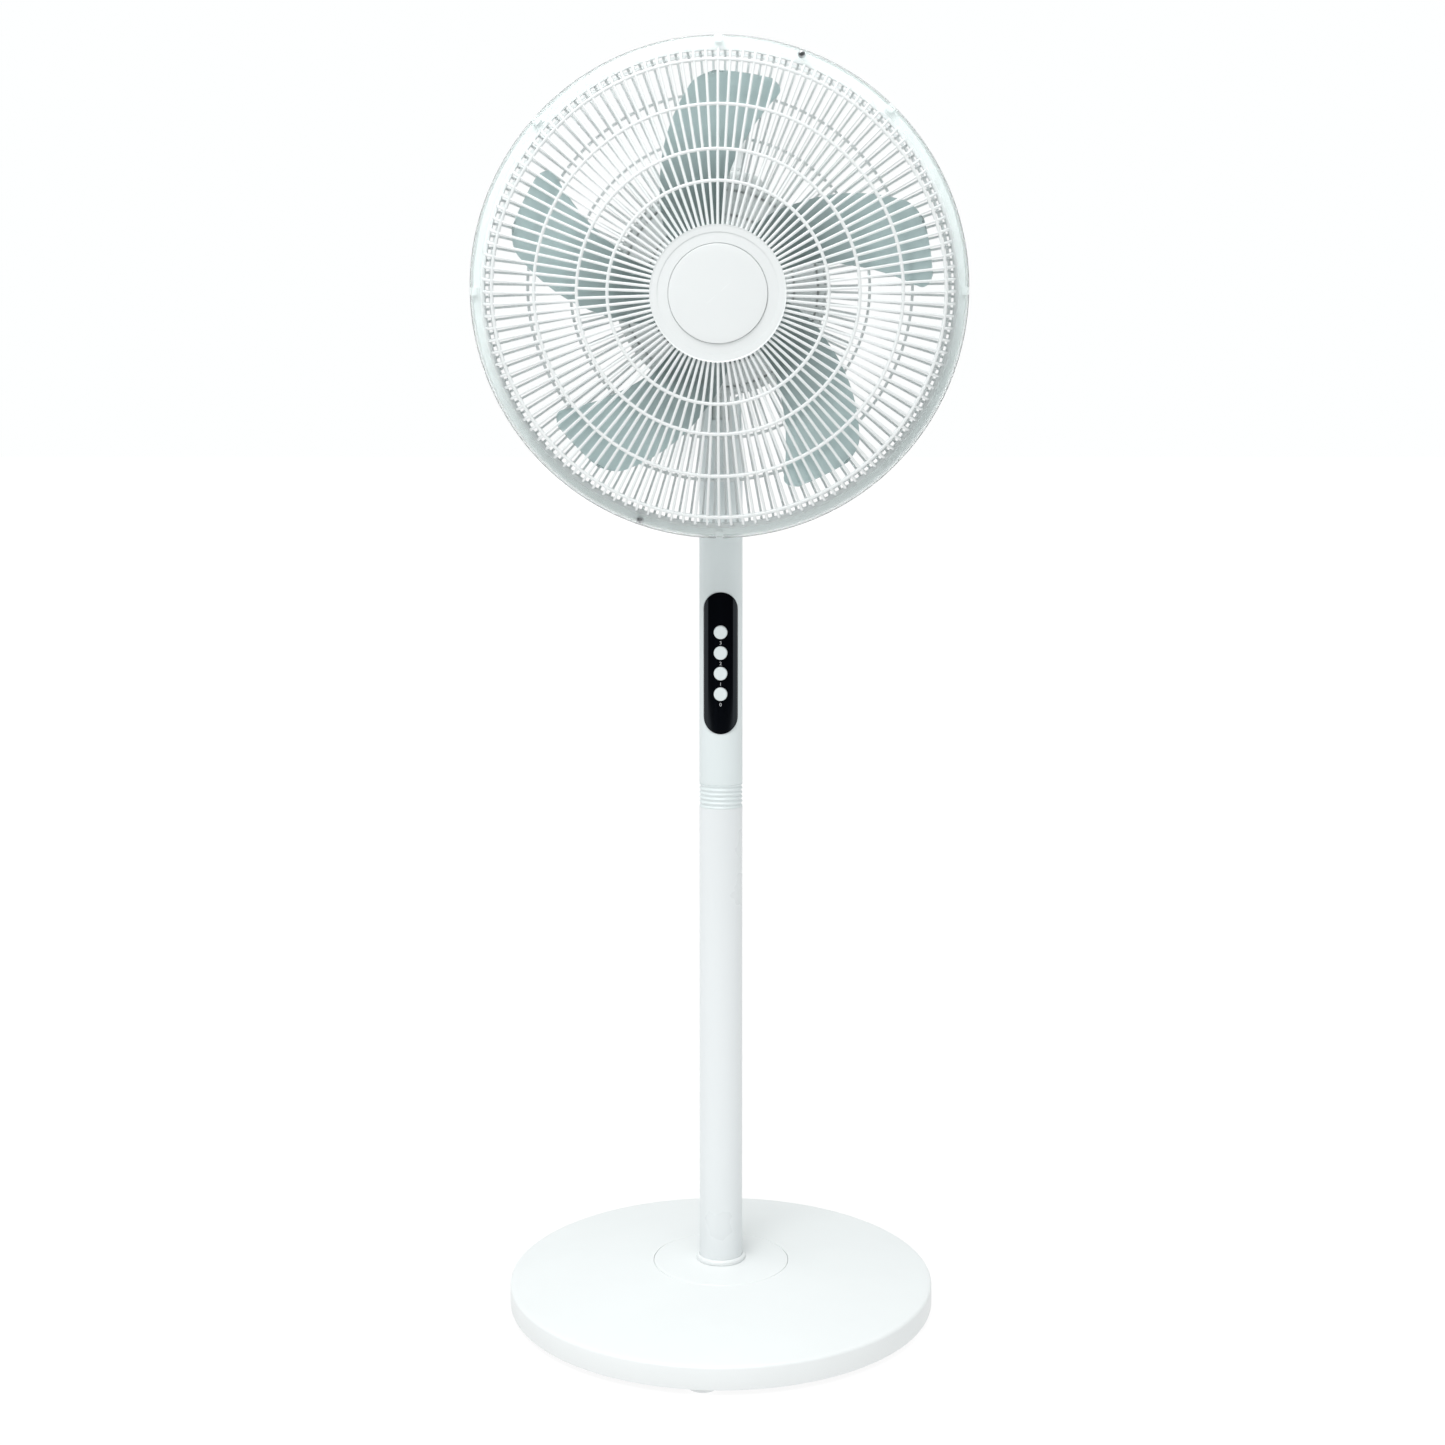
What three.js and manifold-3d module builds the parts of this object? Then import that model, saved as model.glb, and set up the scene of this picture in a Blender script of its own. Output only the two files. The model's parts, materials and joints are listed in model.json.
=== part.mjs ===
// Pedestal fan: weighted round base, telescopic column with a push-button panel, tilting and
// swinging head with a caged five-blade impeller. Millimetres, +Z up, the fan faces -Y, and the
// origin is on the floor at the centre of the base.
import * as THREE from 'three';
import * as BufferGeometryUtils from 'three/addons/utils/BufferGeometryUtils.js';
import Module from 'manifold-3d';

const wasm = await Module();
wasm.setup();

// ---------------------------------------------------------------- driving dimensions
const GAP = 0.3; // running or seating gap between neighbouring pieces

const BASE_R = 200; // outer radius of the base
const BASE_EDGE_Z = 26.3; // height of the base's outer top edge
const BASE_CROWN_Z = 43; // height that the crowned top would reach on the axis
const BASE_WALL = 2.5;
const BASE_LIFT = 5; // the cover's lower edge stands this far above the floor
const BASE_CAP_R = 63.8; // loose centre disc of the base
const WEIGHT_R = 194;
const WEIGHT_Z = 5; // underside of the steel weight plate
const WEIGHT_T = 4;
const FOOT_COUNT = 5;
const FOOT_R = 16;
const FOOT_CIRCLE_R = 180;
const FOOT_START_DEG = -94; // first foot, measured from +X

const POLE_R = 20.25; // outer radius of the lower pole and of the control housing
const POLE_WALL = 1.5;
const TUBE_R = 17; // outer radius of the sliding inner tube
const TUBE_WALL = 1.4;
const TUBE_BOTTOM_Z = 215;
const COLLAR_BOTTOM_Z = 477.4;
const COLLAR_TOP_Z = 499;
const COLLAR_RIDGES = 4;

const HOUSING_WALL = 2.2;
const PANEL_WIDTH = 31.5;
const PANEL_LENGTH = 132;
const PANEL_MID_Z = 614;
const PANEL_FRONT_Y = -20.8;
const PANEL_BACK_Y = -12.5;
const PANEL_CROWN_R = 30; // radius of the panel's gently curved face
const BUTTON_R = 6.4;
const BUTTON_PITCH = 19.2;
const BUTTON_TOP_Z = 643;
const BUTTON_FRONT_Y = -23;
const BUTTON_NAMES = ['button_3', 'button_2', 'button_1', 'button_0'];

const PIVOT_Z = 843.5; // tilt pivot
const HEAD_TILT = THREE.MathUtils.degToRad(6); // the head looks slightly down at rest
const NECK_LENGTH = 118; // tilt pivot to rotor axis
const TONGUE_WIDTH = 15; // neck tongue between the two cheeks of the column
const EYE_R = 16.4; // round end of the tongue, about the tilt pivot

// Head, in its own frame: rotor axis along Y, front towards -Y, swivel axis on Z.
const RIM_Y = -80; // plane where the two grilles meet
const RIM_R = 220;
const RIM_HALF_DEPTH = 11;
const RIM_LIP_R = 210;
const RIM_WALL = 1.6;
const RIM_SCREW_ANGLES = [19.5, 199.3]; // clockwise from the top, seen from the front
const HUB_CAP_R = 58.8;
const BADGE_R = 42.6;
const FRONT_CROWN = 61.5; // front grille's depth on the axis
const FRONT_FALL = 7.8e-4; // depth lost per square millimetre of radius
const REAR_CROWN = 54;
const REAR_FALL = 5.6e-4;
const FRONT_RINGS = [122, 197.7];
const REAR_RINGS = [92, 204.5];
const REAR_BORE_R = 38.6; // the rear grille's centre hole, round the motor plate's snout
const GRILLE_SLATS = 20;
const GRILLE_CENTRE_R = 53; // inner edge of the front grille, under the hub cap
const BLADE_COUNT = 5;
const BLADE_TIP_R = 190.4;
const HUB_R = 38;
const SHAFT_R = 4;
const MOTOR_PLATE_R = 97;
const MOTOR_COVER_R = 92;
const COVER_WALL = 2.5;
const COVER_REAR_Y = 88;
const HUMP_TOP_R = 107; // the raised top of the casing is arched about the rotor axis
const HUMP_WIDTH = 70;
const HUMP_DEPTH = 50;
const HUMP_MID_X = 3.6;
const HUMP_MID_Y = 34;
const KNOB_R = 9;
const KNOB_TOP_Z = 134;
const STATOR_R = 42;
const WORM_WHEEL_X = 14;
const WORM_WHEEL_Y = 43;
const CRANK_X = -4;
const CRANK_Y = 51.7;
const CRANK_PIN = [11.2, 4.2]; // crank pin at rest, from the crank gear's axis
const LINK_ANCHOR = [18.6, 1.4]; // neck end of the oscillation link
const LINK_Z = 63; // underside of the link, above the tilt pivot
const LINK_PIN_R = 2.2;
const TILT_BOLT_R = 4;
const BOLT_PLAY = 0.3;
const SWIVEL_PIN_R = 6;

// ---------------------------------------------------------------- colours and finishes
const white = { color: 0xf1f4f3, roughness: 0.45, metalness: 0 };
const offWhite = { color: 0xdfe3e2, roughness: 0.5, metalness: 0 };
const clear = { color: 0xe8eef0, roughness: 0.1, metalness: 0 };
const black = { color: 0x0b0d0f, roughness: 0.15, metalness: 0 };
const bladeTint = { color: 0x7f9b98, roughness: 0.25, metalness: 0 };
const rubber = { color: 0x2a2b2c, roughness: 0.9, metalness: 0 };
const steel = { color: 0xa9adb0, roughness: 0.35, metalness: 1 };
const darkSteel = { color: 0x55585b, roughness: 0.5, metalness: 1 };
const aluminium = { color: 0xc3c6c8, roughness: 0.45, metalness: 1 };
const copper = { color: 0xb4693a, roughness: 0.4, metalness: 1 };
const brass = { color: 0xb89a55, roughness: 0.4, metalness: 1 };
const nylon = { color: 0xe7e3d6, roughness: 0.6, metalness: 0 };
const whitePaint = { color: 0xeef1f0, roughness: 0.4, metalness: 0 };

// ---------------------------------------------------------------- helpers

// One closed body: shared corners merged, triangles of no area dropped, faces pointing out.
function weld(geometry) {
  const bare = geometry.clone();
  bare.deleteAttribute('normal');
  bare.deleteAttribute('uv');
  const merged = BufferGeometryUtils.mergeVertices(bare, 1e-4);
  const index = Array.from(merged.index.array);
  const position = merged.attributes.position;
  const corner = (i) => new THREE.Vector3().fromBufferAttribute(position, i);
  const kept = [];
  let volume = 0;
  for (let i = 0; i < index.length; i += 3) {
    const [a, b, c] = index.slice(i, i + 3);
    if (a === b || b === c || a === c) continue;
    kept.push(a, b, c);
    volume += corner(a).dot(corner(b).cross(corner(c)));
  }
  if (volume < 0) {
    for (let i = 0; i < kept.length; i += 3) {
      [kept[i], kept[i + 1]] = [kept[i + 1], kept[i]];
    }
  }
  merged.setIndex(kept);
  return merged;
}

function toManifold(geometry) {
  const welded = weld(geometry);
  return new wasm.Manifold(new wasm.Mesh({
    numProp: 3,
    vertProperties: Float32Array.from(welded.attributes.position.array),
    triVerts: Uint32Array.from(welded.index.array),
  }));
}

function fromManifold(solid) {
  const mesh = solid.getMesh();
  const geometry = new THREE.BufferGeometry();
  geometry.setAttribute('position', new THREE.BufferAttribute(mesh.vertProperties, 3));
  geometry.setIndex(new THREE.BufferAttribute(mesh.triVerts, 1));
  return geometry;
}

function cut(geometry, ...tools) {
  let solid = toManifold(geometry);
  for (const tool of tools) solid = solid.subtract(toManifold(tool));
  return fromManifold(solid);
}

function join(geometry, ...others) {
  let solid = toManifold(geometry);
  for (const other of others) solid = solid.add(toManifold(other));
  return fromManifold(solid);
}

function intersect(geometry, other) {
  return fromManifold(toManifold(geometry).intersect(toManifold(other)));
}

// Turned piece about Z from [radius, height] pairs; a profile off the axis closes on itself.
function turned(profile, segments) {
  const points = profile.map(([r, z]) => new THREE.Vector2(r, z));
  const onAxis = profile[0][0] === 0 && profile[profile.length - 1][0] === 0;
  if (!onAxis) points.push(points[0].clone());
  return new THREE.LatheGeometry(points, segments).rotateX(Math.PI / 2);
}

// Ring or tube about Z with a plain rectangular section.
function ring(outer, inner, low, high, segments) {
  return turned([[inner, low], [outer, low], [outer, high], [inner, high]], segments);
}

// Round bar about Z.
function rod(radius, low, high, segments = 16) {
  return turned([[0, low], [radius, low], [radius, high], [0, high]], segments);
}

// The same shapes along Y (front is the low end) and along X.
const alongY = (geometry) => geometry.rotateX(-Math.PI / 2);
const alongX = (geometry) => geometry.rotateY(Math.PI / 2);

function box(low, high) {
  const size = high.map((value, i) => value - low[i]);
  const middle = high.map((value, i) => (value + low[i]) / 2);
  return new THREE.BoxGeometry(...size).translate(...middle);
}

// Slab of an outline drawn in X and Y, from low to high along Z.
function slabXY(shape, low, high, curveSegments = 6) {
  const options = { depth: high - low, bevelEnabled: false, curveSegments };
  return new THREE.ExtrudeGeometry(shape, options).translate(0, 0, low);
}

// Slab of an outline drawn in X and Z, from low to high along Y.
function slabXZ(shape, low, high, curveSegments = 6) {
  return slabXY(shape, -high, -low, curveSegments).rotateX(Math.PI / 2);
}

function stadium(width, length, middle) {
  const r = width / 2;
  const straight = length / 2 - r;
  const shape = new THREE.Shape();
  shape.absarc(0, middle + straight, r, 0, Math.PI, false);
  shape.absarc(0, middle - straight, r, Math.PI, 2 * Math.PI, false);
  return shape;
}

function roundedRectangle(width, height, radius, middleX = 0, middleY = 0) {
  const x = width / 2 - radius;
  const y = height / 2 - radius;
  const shape = new THREE.Shape();
  shape.absarc(middleX + x, middleY + y, radius, 0, Math.PI / 2, false);
  shape.absarc(middleX - x, middleY + y, radius, Math.PI / 2, Math.PI, false);
  shape.absarc(middleX - x, middleY - y, radius, Math.PI, 1.5 * Math.PI, false);
  shape.absarc(middleX + x, middleY - y, radius, 1.5 * Math.PI, 2 * Math.PI, false);
  return shape;
}

const fan = new THREE.Group();
const neckGroup = new THREE.Group(); // tilt pivot at its origin
neckGroup.position.set(0, 0, PIVOT_Z);
neckGroup.rotation.x = HEAD_TILT;
fan.add(neckGroup);
const headGroup = new THREE.Group(); // rotor axis and swivel axis cross at its origin
headGroup.position.set(0, 0, NECK_LENGTH);
neckGroup.add(headGroup);

function piece(group, name, geometry, finish) {
  const mesh = new THREE.Mesh(weld(geometry), new THREE.MeshStandardMaterial(finish));
  mesh.name = name;
  group.add(mesh);
  return mesh;
}

// ---------------------------------------------------------------- base
const crown = (r) => BASE_CROWN_Z - (BASE_CROWN_Z - BASE_EDGE_Z) * (r / BASE_R) ** 2;
const plateTopZ = WEIGHT_Z + WEIGHT_T;
const poleFootZ = plateTopZ + GAP;

function makeBase() {
  const capSeat = BASE_CAP_R + GAP;
  const step = 1.6; // thickness of the loose centre disc
  const edge = BASE_R - 1.2;
  const inside = BASE_R - BASE_WALL;
  const cover = [
    [edge, BASE_LIFT], [BASE_R, BASE_LIFT + 2], [BASE_R, BASE_EDGE_Z - 1], [edge, crown(edge)],
    [132, crown(132)], [capSeat, crown(capSeat)],
    [capSeat, crown(capSeat) - step - GAP], [POLE_R + GAP, crown(POLE_R) - step - GAP],
    [POLE_R + GAP, crown(POLE_R) - step - BASE_WALL],
    [capSeat, crown(capSeat) - step - BASE_WALL - GAP], [132, crown(132) - BASE_WALL],
    [inside, BASE_EDGE_Z - BASE_WALL], [inside, BASE_LIFT],
  ];
  piece(fan, 'base_cover', turned(cover, 40), white);

  const cap = [
    [POLE_R + GAP, crown(POLE_R) - step], [BASE_CAP_R, crown(BASE_CAP_R) - step],
    [BASE_CAP_R, crown(BASE_CAP_R)], [POLE_R + GAP, crown(POLE_R)],
  ];
  piece(fan, 'base_centre_disc', turned(cap, 32), white);

  const plate = ring(WEIGHT_R, 6, WEIGHT_Z, plateTopZ, 28);
  piece(fan, 'base_weight', plate, darkSteel);

  for (let i = 0; i < FOOT_COUNT; i += 1) {
    const angle = THREE.MathUtils.degToRad(FOOT_START_DEG + i * 360 / FOOT_COUNT);
    const pad = turned([
      [0, 0], [FOOT_R - 2, 0], [FOOT_R, WEIGHT_Z - GAP], [0, WEIGHT_Z - GAP],
    ], 16);
    const foot = piece(fan, `foot_${i + 1}`, pad, rubber);
    foot.position.set(FOOT_CIRCLE_R * Math.cos(angle), FOOT_CIRCLE_R * Math.sin(angle), 0);
  }
}

function makeLowerPole() {
  const bore = POLE_R - POLE_WALL;
  const poleTopZ = COLLAR_BOTTOM_Z - GAP;
  piece(fan, 'lower_pole', ring(POLE_R, bore, poleFootZ, poleTopZ, 32), whitePaint);

  const ringLow = crown(POLE_R) + GAP;
  const footRing = [
    [POLE_R + GAP, ringLow], [23.4, ringLow], [23, ringLow + 3.2], [21.8, ringLow + 4.2],
    [POLE_R + GAP, ringLow + 4.2],
  ];
  piece(fan, 'pole_foot_ring', turned(footRing, 24), white);

  const plugTopZ = poleFootZ + 26;
  piece(fan, 'pole_plug', ring(bore - GAP, 5.4, poleFootZ, plugTopZ, 24), darkSteel);

  const boltHeadLow = 1;
  const bolt = [
    [0, boltHeadLow], [8.5, boltHeadLow], [8.5, WEIGHT_Z - GAP], [5, WEIGHT_Z - GAP],
    [5, plugTopZ - 4], [0, plugTopZ - 4],
  ];
  piece(fan, 'base_bolt', turned(bolt, 6), steel);

  const sleeve = ring(bore - GAP, TUBE_R + 0.15, poleTopZ - 46, COLLAR_TOP_Z - 4, 28);
  const slit = box([-1, TUBE_R - 3, poleTopZ - 20], [1, POLE_R, COLLAR_TOP_Z]);
  piece(fan, 'clamp_sleeve', cut(sleeve, slit), nylon);
}

function makeHeightCollar() {
  const rootR = POLE_R - 0.75;
  const peakR = POLE_R + 0.1;
  const low = COLLAR_BOTTOM_Z;
  const pitch = (COLLAR_TOP_Z - low - 1.6) / COLLAR_RIDGES;
  const profile = [[POLE_R - POLE_WALL + GAP, low], [rootR, low]];
  for (let i = 0; i < COLLAR_RIDGES; i += 1) {
    const z = low + 0.8 + i * pitch;
    profile.push([rootR, z + 0.2 * pitch], [peakR, z + 0.4 * pitch], [peakR, z + 0.8 * pitch]);
  }
  profile.push([rootR, COLLAR_TOP_Z - 0.6], [rootR, COLLAR_TOP_Z]);
  profile.push([POLE_R - POLE_WALL + GAP, COLLAR_TOP_Z]);
  piece(fan, 'height_collar', turned(profile, 24), white);
}

// ---------------------------------------------------------------- sliding upper column
const housingLow = COLLAR_TOP_Z + GAP;
const housingInside = POLE_R - HOUSING_WALL;

// Column wall with a rounded top around the tilt pivot and a slot for the neck tongue.
function housingSolid() {
  const wall = ring(POLE_R, housingInside, housingLow, PIVOT_Z + POLE_R, 32);
  const dome = join(
    alongX(rod(POLE_R, -POLE_R - 1, POLE_R + 1, 32)).translate(0, 0, PIVOT_Z),
    box([-POLE_R - 1, -POLE_R - 1, housingLow - 1], [POLE_R + 1, POLE_R + 1, PIVOT_Z]),
  );
  const halfTongue = TONGUE_WIDTH / 2 + GAP;
  const slotLow = [-halfTongue, -POLE_R - 1, PIVOT_Z - 17];
  const tongueSlot = box(slotLow, [halfTongue, POLE_R + 1, PIVOT_Z + 30]);
  const cheeks = box([-housingInside, -9, PIVOT_Z - 12], [housingInside, 9, PIVOT_Z + 9]);
  const boltRun = rod(TILT_BOLT_R + BOLT_PLAY, -POLE_R - 1, POLE_R + 1, 12);
  const boltHole = alongX(boltRun).translate(0, 0, PIVOT_Z);
  const headRecess = alongX(rod(7.5, 15, POLE_R + 1, 12)).translate(0, 0, PIVOT_Z);
  const nutRecess = alongX(rod(7.5, -POLE_R - 1, -15, 12)).translate(0, 0, PIVOT_Z);
  const solid = intersect(join(wall, cheeks), dome);
  return cut(solid, tongueSlot, boltHole, headRecess, nutRecess);
}

function makeControlHousing() {
  const solid = housingSolid();
  const far = 60;
  const frontHalf = box([-far, -far, 0], [far, -GAP / 2, 2000]);
  const rearHalf = box([-far, GAP / 2, 0], [far, far, 2000]);
  const outline = stadium(PANEL_WIDTH + 2 * GAP, PANEL_LENGTH + 2 * GAP, PANEL_MID_Z);
  const opening = slabXZ(outline, -40, -5);
  piece(fan, 'control_housing_front', cut(intersect(solid, frontHalf), opening), white);

  const screwHeights = [552, 790];
  const inletZ = 575;
  const inlet = alongY(rod(6, 5, 40, 12)).translate(0, 0, inletZ);
  let rear = cut(intersect(solid, rearHalf), inlet);
  for (const z of screwHeights) {
    rear = cut(rear, alongY(rod(1.9, 5, 40, 10)).translate(0, 0, z));
  }
  piece(fan, 'control_housing_rear', rear, white);
  screwHeights.forEach((z, i) => {
    const screw = turned([[0, -9], [1.6, -9], [1.6, 0], [3.4, 0], [3.0, 1.8], [0, 1.8]], 12);
    const mesh = piece(fan, `housing_screw_${i + 1}`, alongY(screw), steel);
    mesh.position.set(0, POLE_R + GAP, z);
  });

  const grommet = turned([
    [3.6, -5], [5.6, -5], [5.6, 0.9], [7.6, 0.9], [7.2, 3], [3.6, 3],
  ], 16);
  piece(fan, 'cord_inlet', alongY(grommet), rubber).position.set(0, POLE_R - 0.2, inletZ);
}

function makeInnerTube() {
  const tubeTopZ = housingLow + 34;
  piece(fan, 'inner_tube', ring(TUBE_R, TUBE_R - TUBE_WALL, TUBE_BOTTOM_Z, tubeTopZ, 28), steel);
  const holder = ring(TUBE_R - TUBE_WALL - GAP, 9, housingLow + 2, housingLow + 44, 24);
  const shoulder = ring(housingInside - GAP, 9, tubeTopZ + GAP, housingLow + 44, 24);
  piece(fan, 'tube_holder', join(holder, shoulder), nylon);
}

function makeControls() {
  const outline = stadium(PANEL_WIDTH, PANEL_LENGTH, PANEL_MID_Z);
  const plate = slabXZ(outline, PANEL_FRONT_Y - 1, PANEL_BACK_Y, 10);
  const crownBar = rod(PANEL_CROWN_R, 400, 800, 96).translate(0, PANEL_FRONT_Y + PANEL_CROWN_R, 0);
  let panel = intersect(plate, crownBar);
  BUTTON_NAMES.forEach((name, i) => {
    const z = BUTTON_TOP_Z - i * BUTTON_PITCH;
    panel = cut(panel, alongY(rod(BUTTON_R + GAP, -40, 0, 14)).translate(0, 0, z));
    const button = [
      [0, 0], [BUTTON_R - 0.8, 0], [BUTTON_R, 0.8], [BUTTON_R, 6], [2.5, 6], [2.5, 14], [0, 14],
    ];
    piece(fan, name, alongY(turned(button, 14)), white).position.set(0, BUTTON_FRONT_Y, z);
  });
  piece(fan, 'control_panel', panel, black);

  const switchMidZ = BUTTON_TOP_Z - 1.5 * BUTTON_PITCH;
  piece(fan, 'switch_block', box([-9, -5.4, switchMidZ - 42], [9, 8, switchMidZ + 42]), nylon);
  const can = slabXZ(roundedRectangle(24, 38, 4, 0, 740), -8, 8, 4);
  piece(fan, 'run_capacitor', can, nylon);
}

// ---------------------------------------------------------------- neck, in the tilted frame
function makeNeck() {
  const halfTongue = TONGUE_WIDTH / 2;
  const eye = alongX(rod(EYE_R, -halfTongue, halfTongue, 24));
  const stem = box([-halfTongue, -11, 0], [halfTongue, 11, 27]);
  const boltHole = alongX(rod(TILT_BOLT_R + BOLT_PLAY, -20, 20, 12));
  const collar = turned([[0, 21], [13, 21], [19, 24.3], [19, 25.4], [0, 25.4]], 28);
  const boss = rod(15.5, 25, 44, 24);
  const [anchorX, anchorY] = LINK_ANCHOR;
  const arm = box([0, anchorY - 4, 40], [anchorX + 4, anchorY + 4, 44]);
  const post = rod(LINK_PIN_R, 42, LINK_Z + 3.5, 12).translate(anchorX, anchorY, 0);
  const bracket = join(cut(join(eye, stem), boltHole), collar, boss, arm, post);
  const pinSeat = rod(SWIVEL_PIN_R + GAP, 36, 50, 16);
  piece(neckGroup, 'neck_bracket', cut(bracket, pinSeat), white);
  piece(neckGroup, 'swivel_pin', rod(SWIVEL_PIN_R, 36 + GAP, 66, 16), steel);

  const acrossX = CRANK_X + CRANK_PIN[0] - anchorX;
  const acrossY = CRANK_Y + CRANK_PIN[1] - anchorY;
  const reach = Math.hypot(acrossX, acrossY);
  const bar = roundedRectangle(reach + 7, 7, 3.4, reach / 2, 0);
  const eyeHole = new THREE.Path();
  eyeHole.absarc(0, 0, LINK_PIN_R + GAP, 0, 2 * Math.PI, true);
  bar.holes.push(eyeHole);
  const link = piece(neckGroup, 'link_arm', slabXY(bar, 0, 3), steel);
  link.position.set(anchorX, anchorY, LINK_Z);
  link.rotation.z = Math.atan2(acrossY, acrossX);
}

function makeTiltBolt() {
  const headR = 7;
  const headIn = 15.4;
  const headOut = 19.4;
  const bolt = turned([
    [0, -14], [TILT_BOLT_R, -14], [TILT_BOLT_R, headIn], [headR, headIn], [headR, headOut], [0, headOut],
  ], 12);
  piece(fan, 'tilt_bolt', alongX(bolt), steel).position.set(0, 0, PIVOT_Z);
  piece(fan, 'tilt_nut', alongX(rod(headR, -headOut, -headIn, 6)), steel).position.set(0, 0, PIVOT_Z);
}

// ---------------------------------------------------------------- motor, in the head's frame
const rearFlatR = REAR_RINGS[0] + 2; // the rear grille is flat inside this radius
const plateY = RIM_Y + REAR_CROWN - REAR_FALL * rearFlatR ** 2;
const coverFrontY = plateY + 9;

function makeMotorCasing() {
  const low = plateY + GAP;
  const high = coverFrontY - GAP;
  const boreR = 9;
  const snoutR = 38;
  const plate = [
    [boreR, low - 12], [snoutR, low - 12], [snoutR, low], [MOTOR_PLATE_R, low], [MOTOR_PLATE_R, high],
    [84, high], [84, low + 3], [boreR, low + 3],
  ];
  piece(headGroup, 'motor_front_plate', alongY(turned(plate, 28)), offWhite);

  const nutR = 60;
  const nut = [
    [snoutR + GAP, low - 10], [nutR, low - 10], [nutR, low - 7], [nutR - 6, low - 4.5],
    [snoutR + GAP, low - 4.5],
  ];
  piece(headGroup, 'grille_lock_nut', alongY(turned(nut, 28)), offWhite);

  piece(headGroup, 'motor_rear_cover', motorCoverSolid(), offWhite);
  const screw = turned([[0, -14], [1.7, -14], [1.7, 0], [3.8, 0], [3.4, 2], [0, 2]], 12);
  piece(headGroup, 'cover_screw', alongY(screw), steel).position.set(0, COVER_REAR_Y + GAP, 0);
}

// Bell round the motor, `inset` inside its outer surface.
function bell(inset, front) {
  const r = MOTOR_COVER_R - inset;
  return alongY(turned([
    [0, front], [r, front], [r, coverFrontY + 32], [84 - inset, 50 - inset / 2], [70 - inset, 69 - inset],
    [47 - inset, 81 - inset], [0, COVER_REAR_Y - inset],
  ], 28));
}

// Raised top of the casing, `inset` inside its outer surface.
function hump(inset, low) {
  const corner = 9 - inset;
  const width = HUMP_WIDTH - 2 * inset;
  const depth = HUMP_DEPTH - 2 * inset;
  const outline = roundedRectangle(width, depth, corner, HUMP_MID_X, HUMP_MID_Y);
  return intersect(slabXY(outline, low, HUMP_TOP_R, 4), alongY(rod(HUMP_TOP_R - inset, 0, 80, 72)));
}

function motorCoverSolid() {
  const neckHole = rod(19, -120, -40, 24);
  const stemHole = rod(3.4, 60, 120, 12).translate(WORM_WHEEL_X, WORM_WHEEL_Y, 0);
  const screwHole = alongY(rod(2, 60, 120, 10));
  const shell = join(bell(0, coverFrontY), hump(0, 40));
  const room = join(bell(COVER_WALL, coverFrontY - 1), hump(COVER_WALL, 30));
  return cut(shell, room, neckHole, stemHole, screwHole);
}

function makeMotor() {
  const shieldFront = [[8.3, -14], [40, -14], [40, -9], [34, -7.5], [8.3, -7.5]];
  piece(headGroup, 'motor_end_front', alongY(turned(shieldFront, 20)), aluminium);
  const shieldRear = [[8.3, 22], [34, 22], [40, 24], [40, 29], [8.3, 29]];
  piece(headGroup, 'motor_end_rear', alongY(turned(shieldRear, 20)), aluminium);
  piece(headGroup, 'bearing_front', alongY(ring(8, SHAFT_R + GAP, -15, -6, 12)), brass);
  piece(headGroup, 'bearing_rear', alongY(ring(8, SHAFT_R + GAP, 21.5, 30, 12)), brass);

  const core = slabXZ(roundedRectangle(2 * STATOR_R, 2 * STATOR_R, 20), -2, 15, 4);
  const bore = alongY(rod(22.8, -10, 40, 20));
  piece(headGroup, 'stator_core', cut(core, bore), darkSteel);
  piece(headGroup, 'winding_front', alongY(ring(37, 24, -7, -2 - GAP, 16)), copper);
  piece(headGroup, 'winding_rear', alongY(ring(37, 24, 15 + GAP, 21.5, 16)), copper);
}

function makeRotor() {
  const shaft = [
    [0, -92], [SHAFT_R, -92], [SHAFT_R, 31], [3, 31], [3, WORM_WHEEL_Y + 10], [0, WORM_WHEEL_Y + 10],
  ];
  piece(headGroup, 'motor_shaft', alongY(turned(shaft, 16)), steel);
  piece(headGroup, 'rotor_core', alongY(ring(22, SHAFT_R + GAP, -2, 15, 20)), aluminium);

  const blade = bladeSolid();
  const hub = turned([
    [SHAFT_R + GAP, -24], [10, -24], [10, -20], [30, -20], [34, -17], [HUB_R, 0], [HUB_R, 14], [35.5, 14],
    [34, 0], [30, -16], [10, -16], [10, 12], [SHAFT_R + GAP, 12],
  ], 24);
  const parts = [];
  for (let i = 0; i < BLADE_COUNT; i += 1) {
    parts.push(blade.clone().rotateY(i * 2 * Math.PI / BLADE_COUNT));
  }
  const wheel = join(alongY(hub), ...parts);
  const impeller = piece(headGroup, 'impeller', wheel, bladeTint);
  impeller.position.set(0, RIM_Y + 8, 0);

  const nut = turned([[SHAFT_R + GAP, -9], [12, -9], [16, -2], [16, 0], [SHAFT_R + GAP, 0]], 16);
  const nutY = RIM_Y + 8 - 24 - GAP;
  piece(headGroup, 'blade_nut', alongY(nut), bladeTint).position.set(0, nutY, 0);
}

// Angles of the blade's two edges, clockwise from straight up seen from the front, in degrees.
function trailingEdge(r) {
  const straight = -41.7 + 0.2835 * (r - 61) - 0.08 * Math.max(0, 106 - r);
  const corner = Math.max(0, r - 180) / (BLADE_TIP_R - 180);
  return straight + 4 * corner ** 2.4;
}

function leadingEdge(r) {
  const straight = 2.4 + 0.163 * Math.max(0, r - 88);
  const corner = Math.max(0, r - 176) / (BLADE_TIP_R - 176);
  return straight - 5 * corner ** 3;
}

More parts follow.
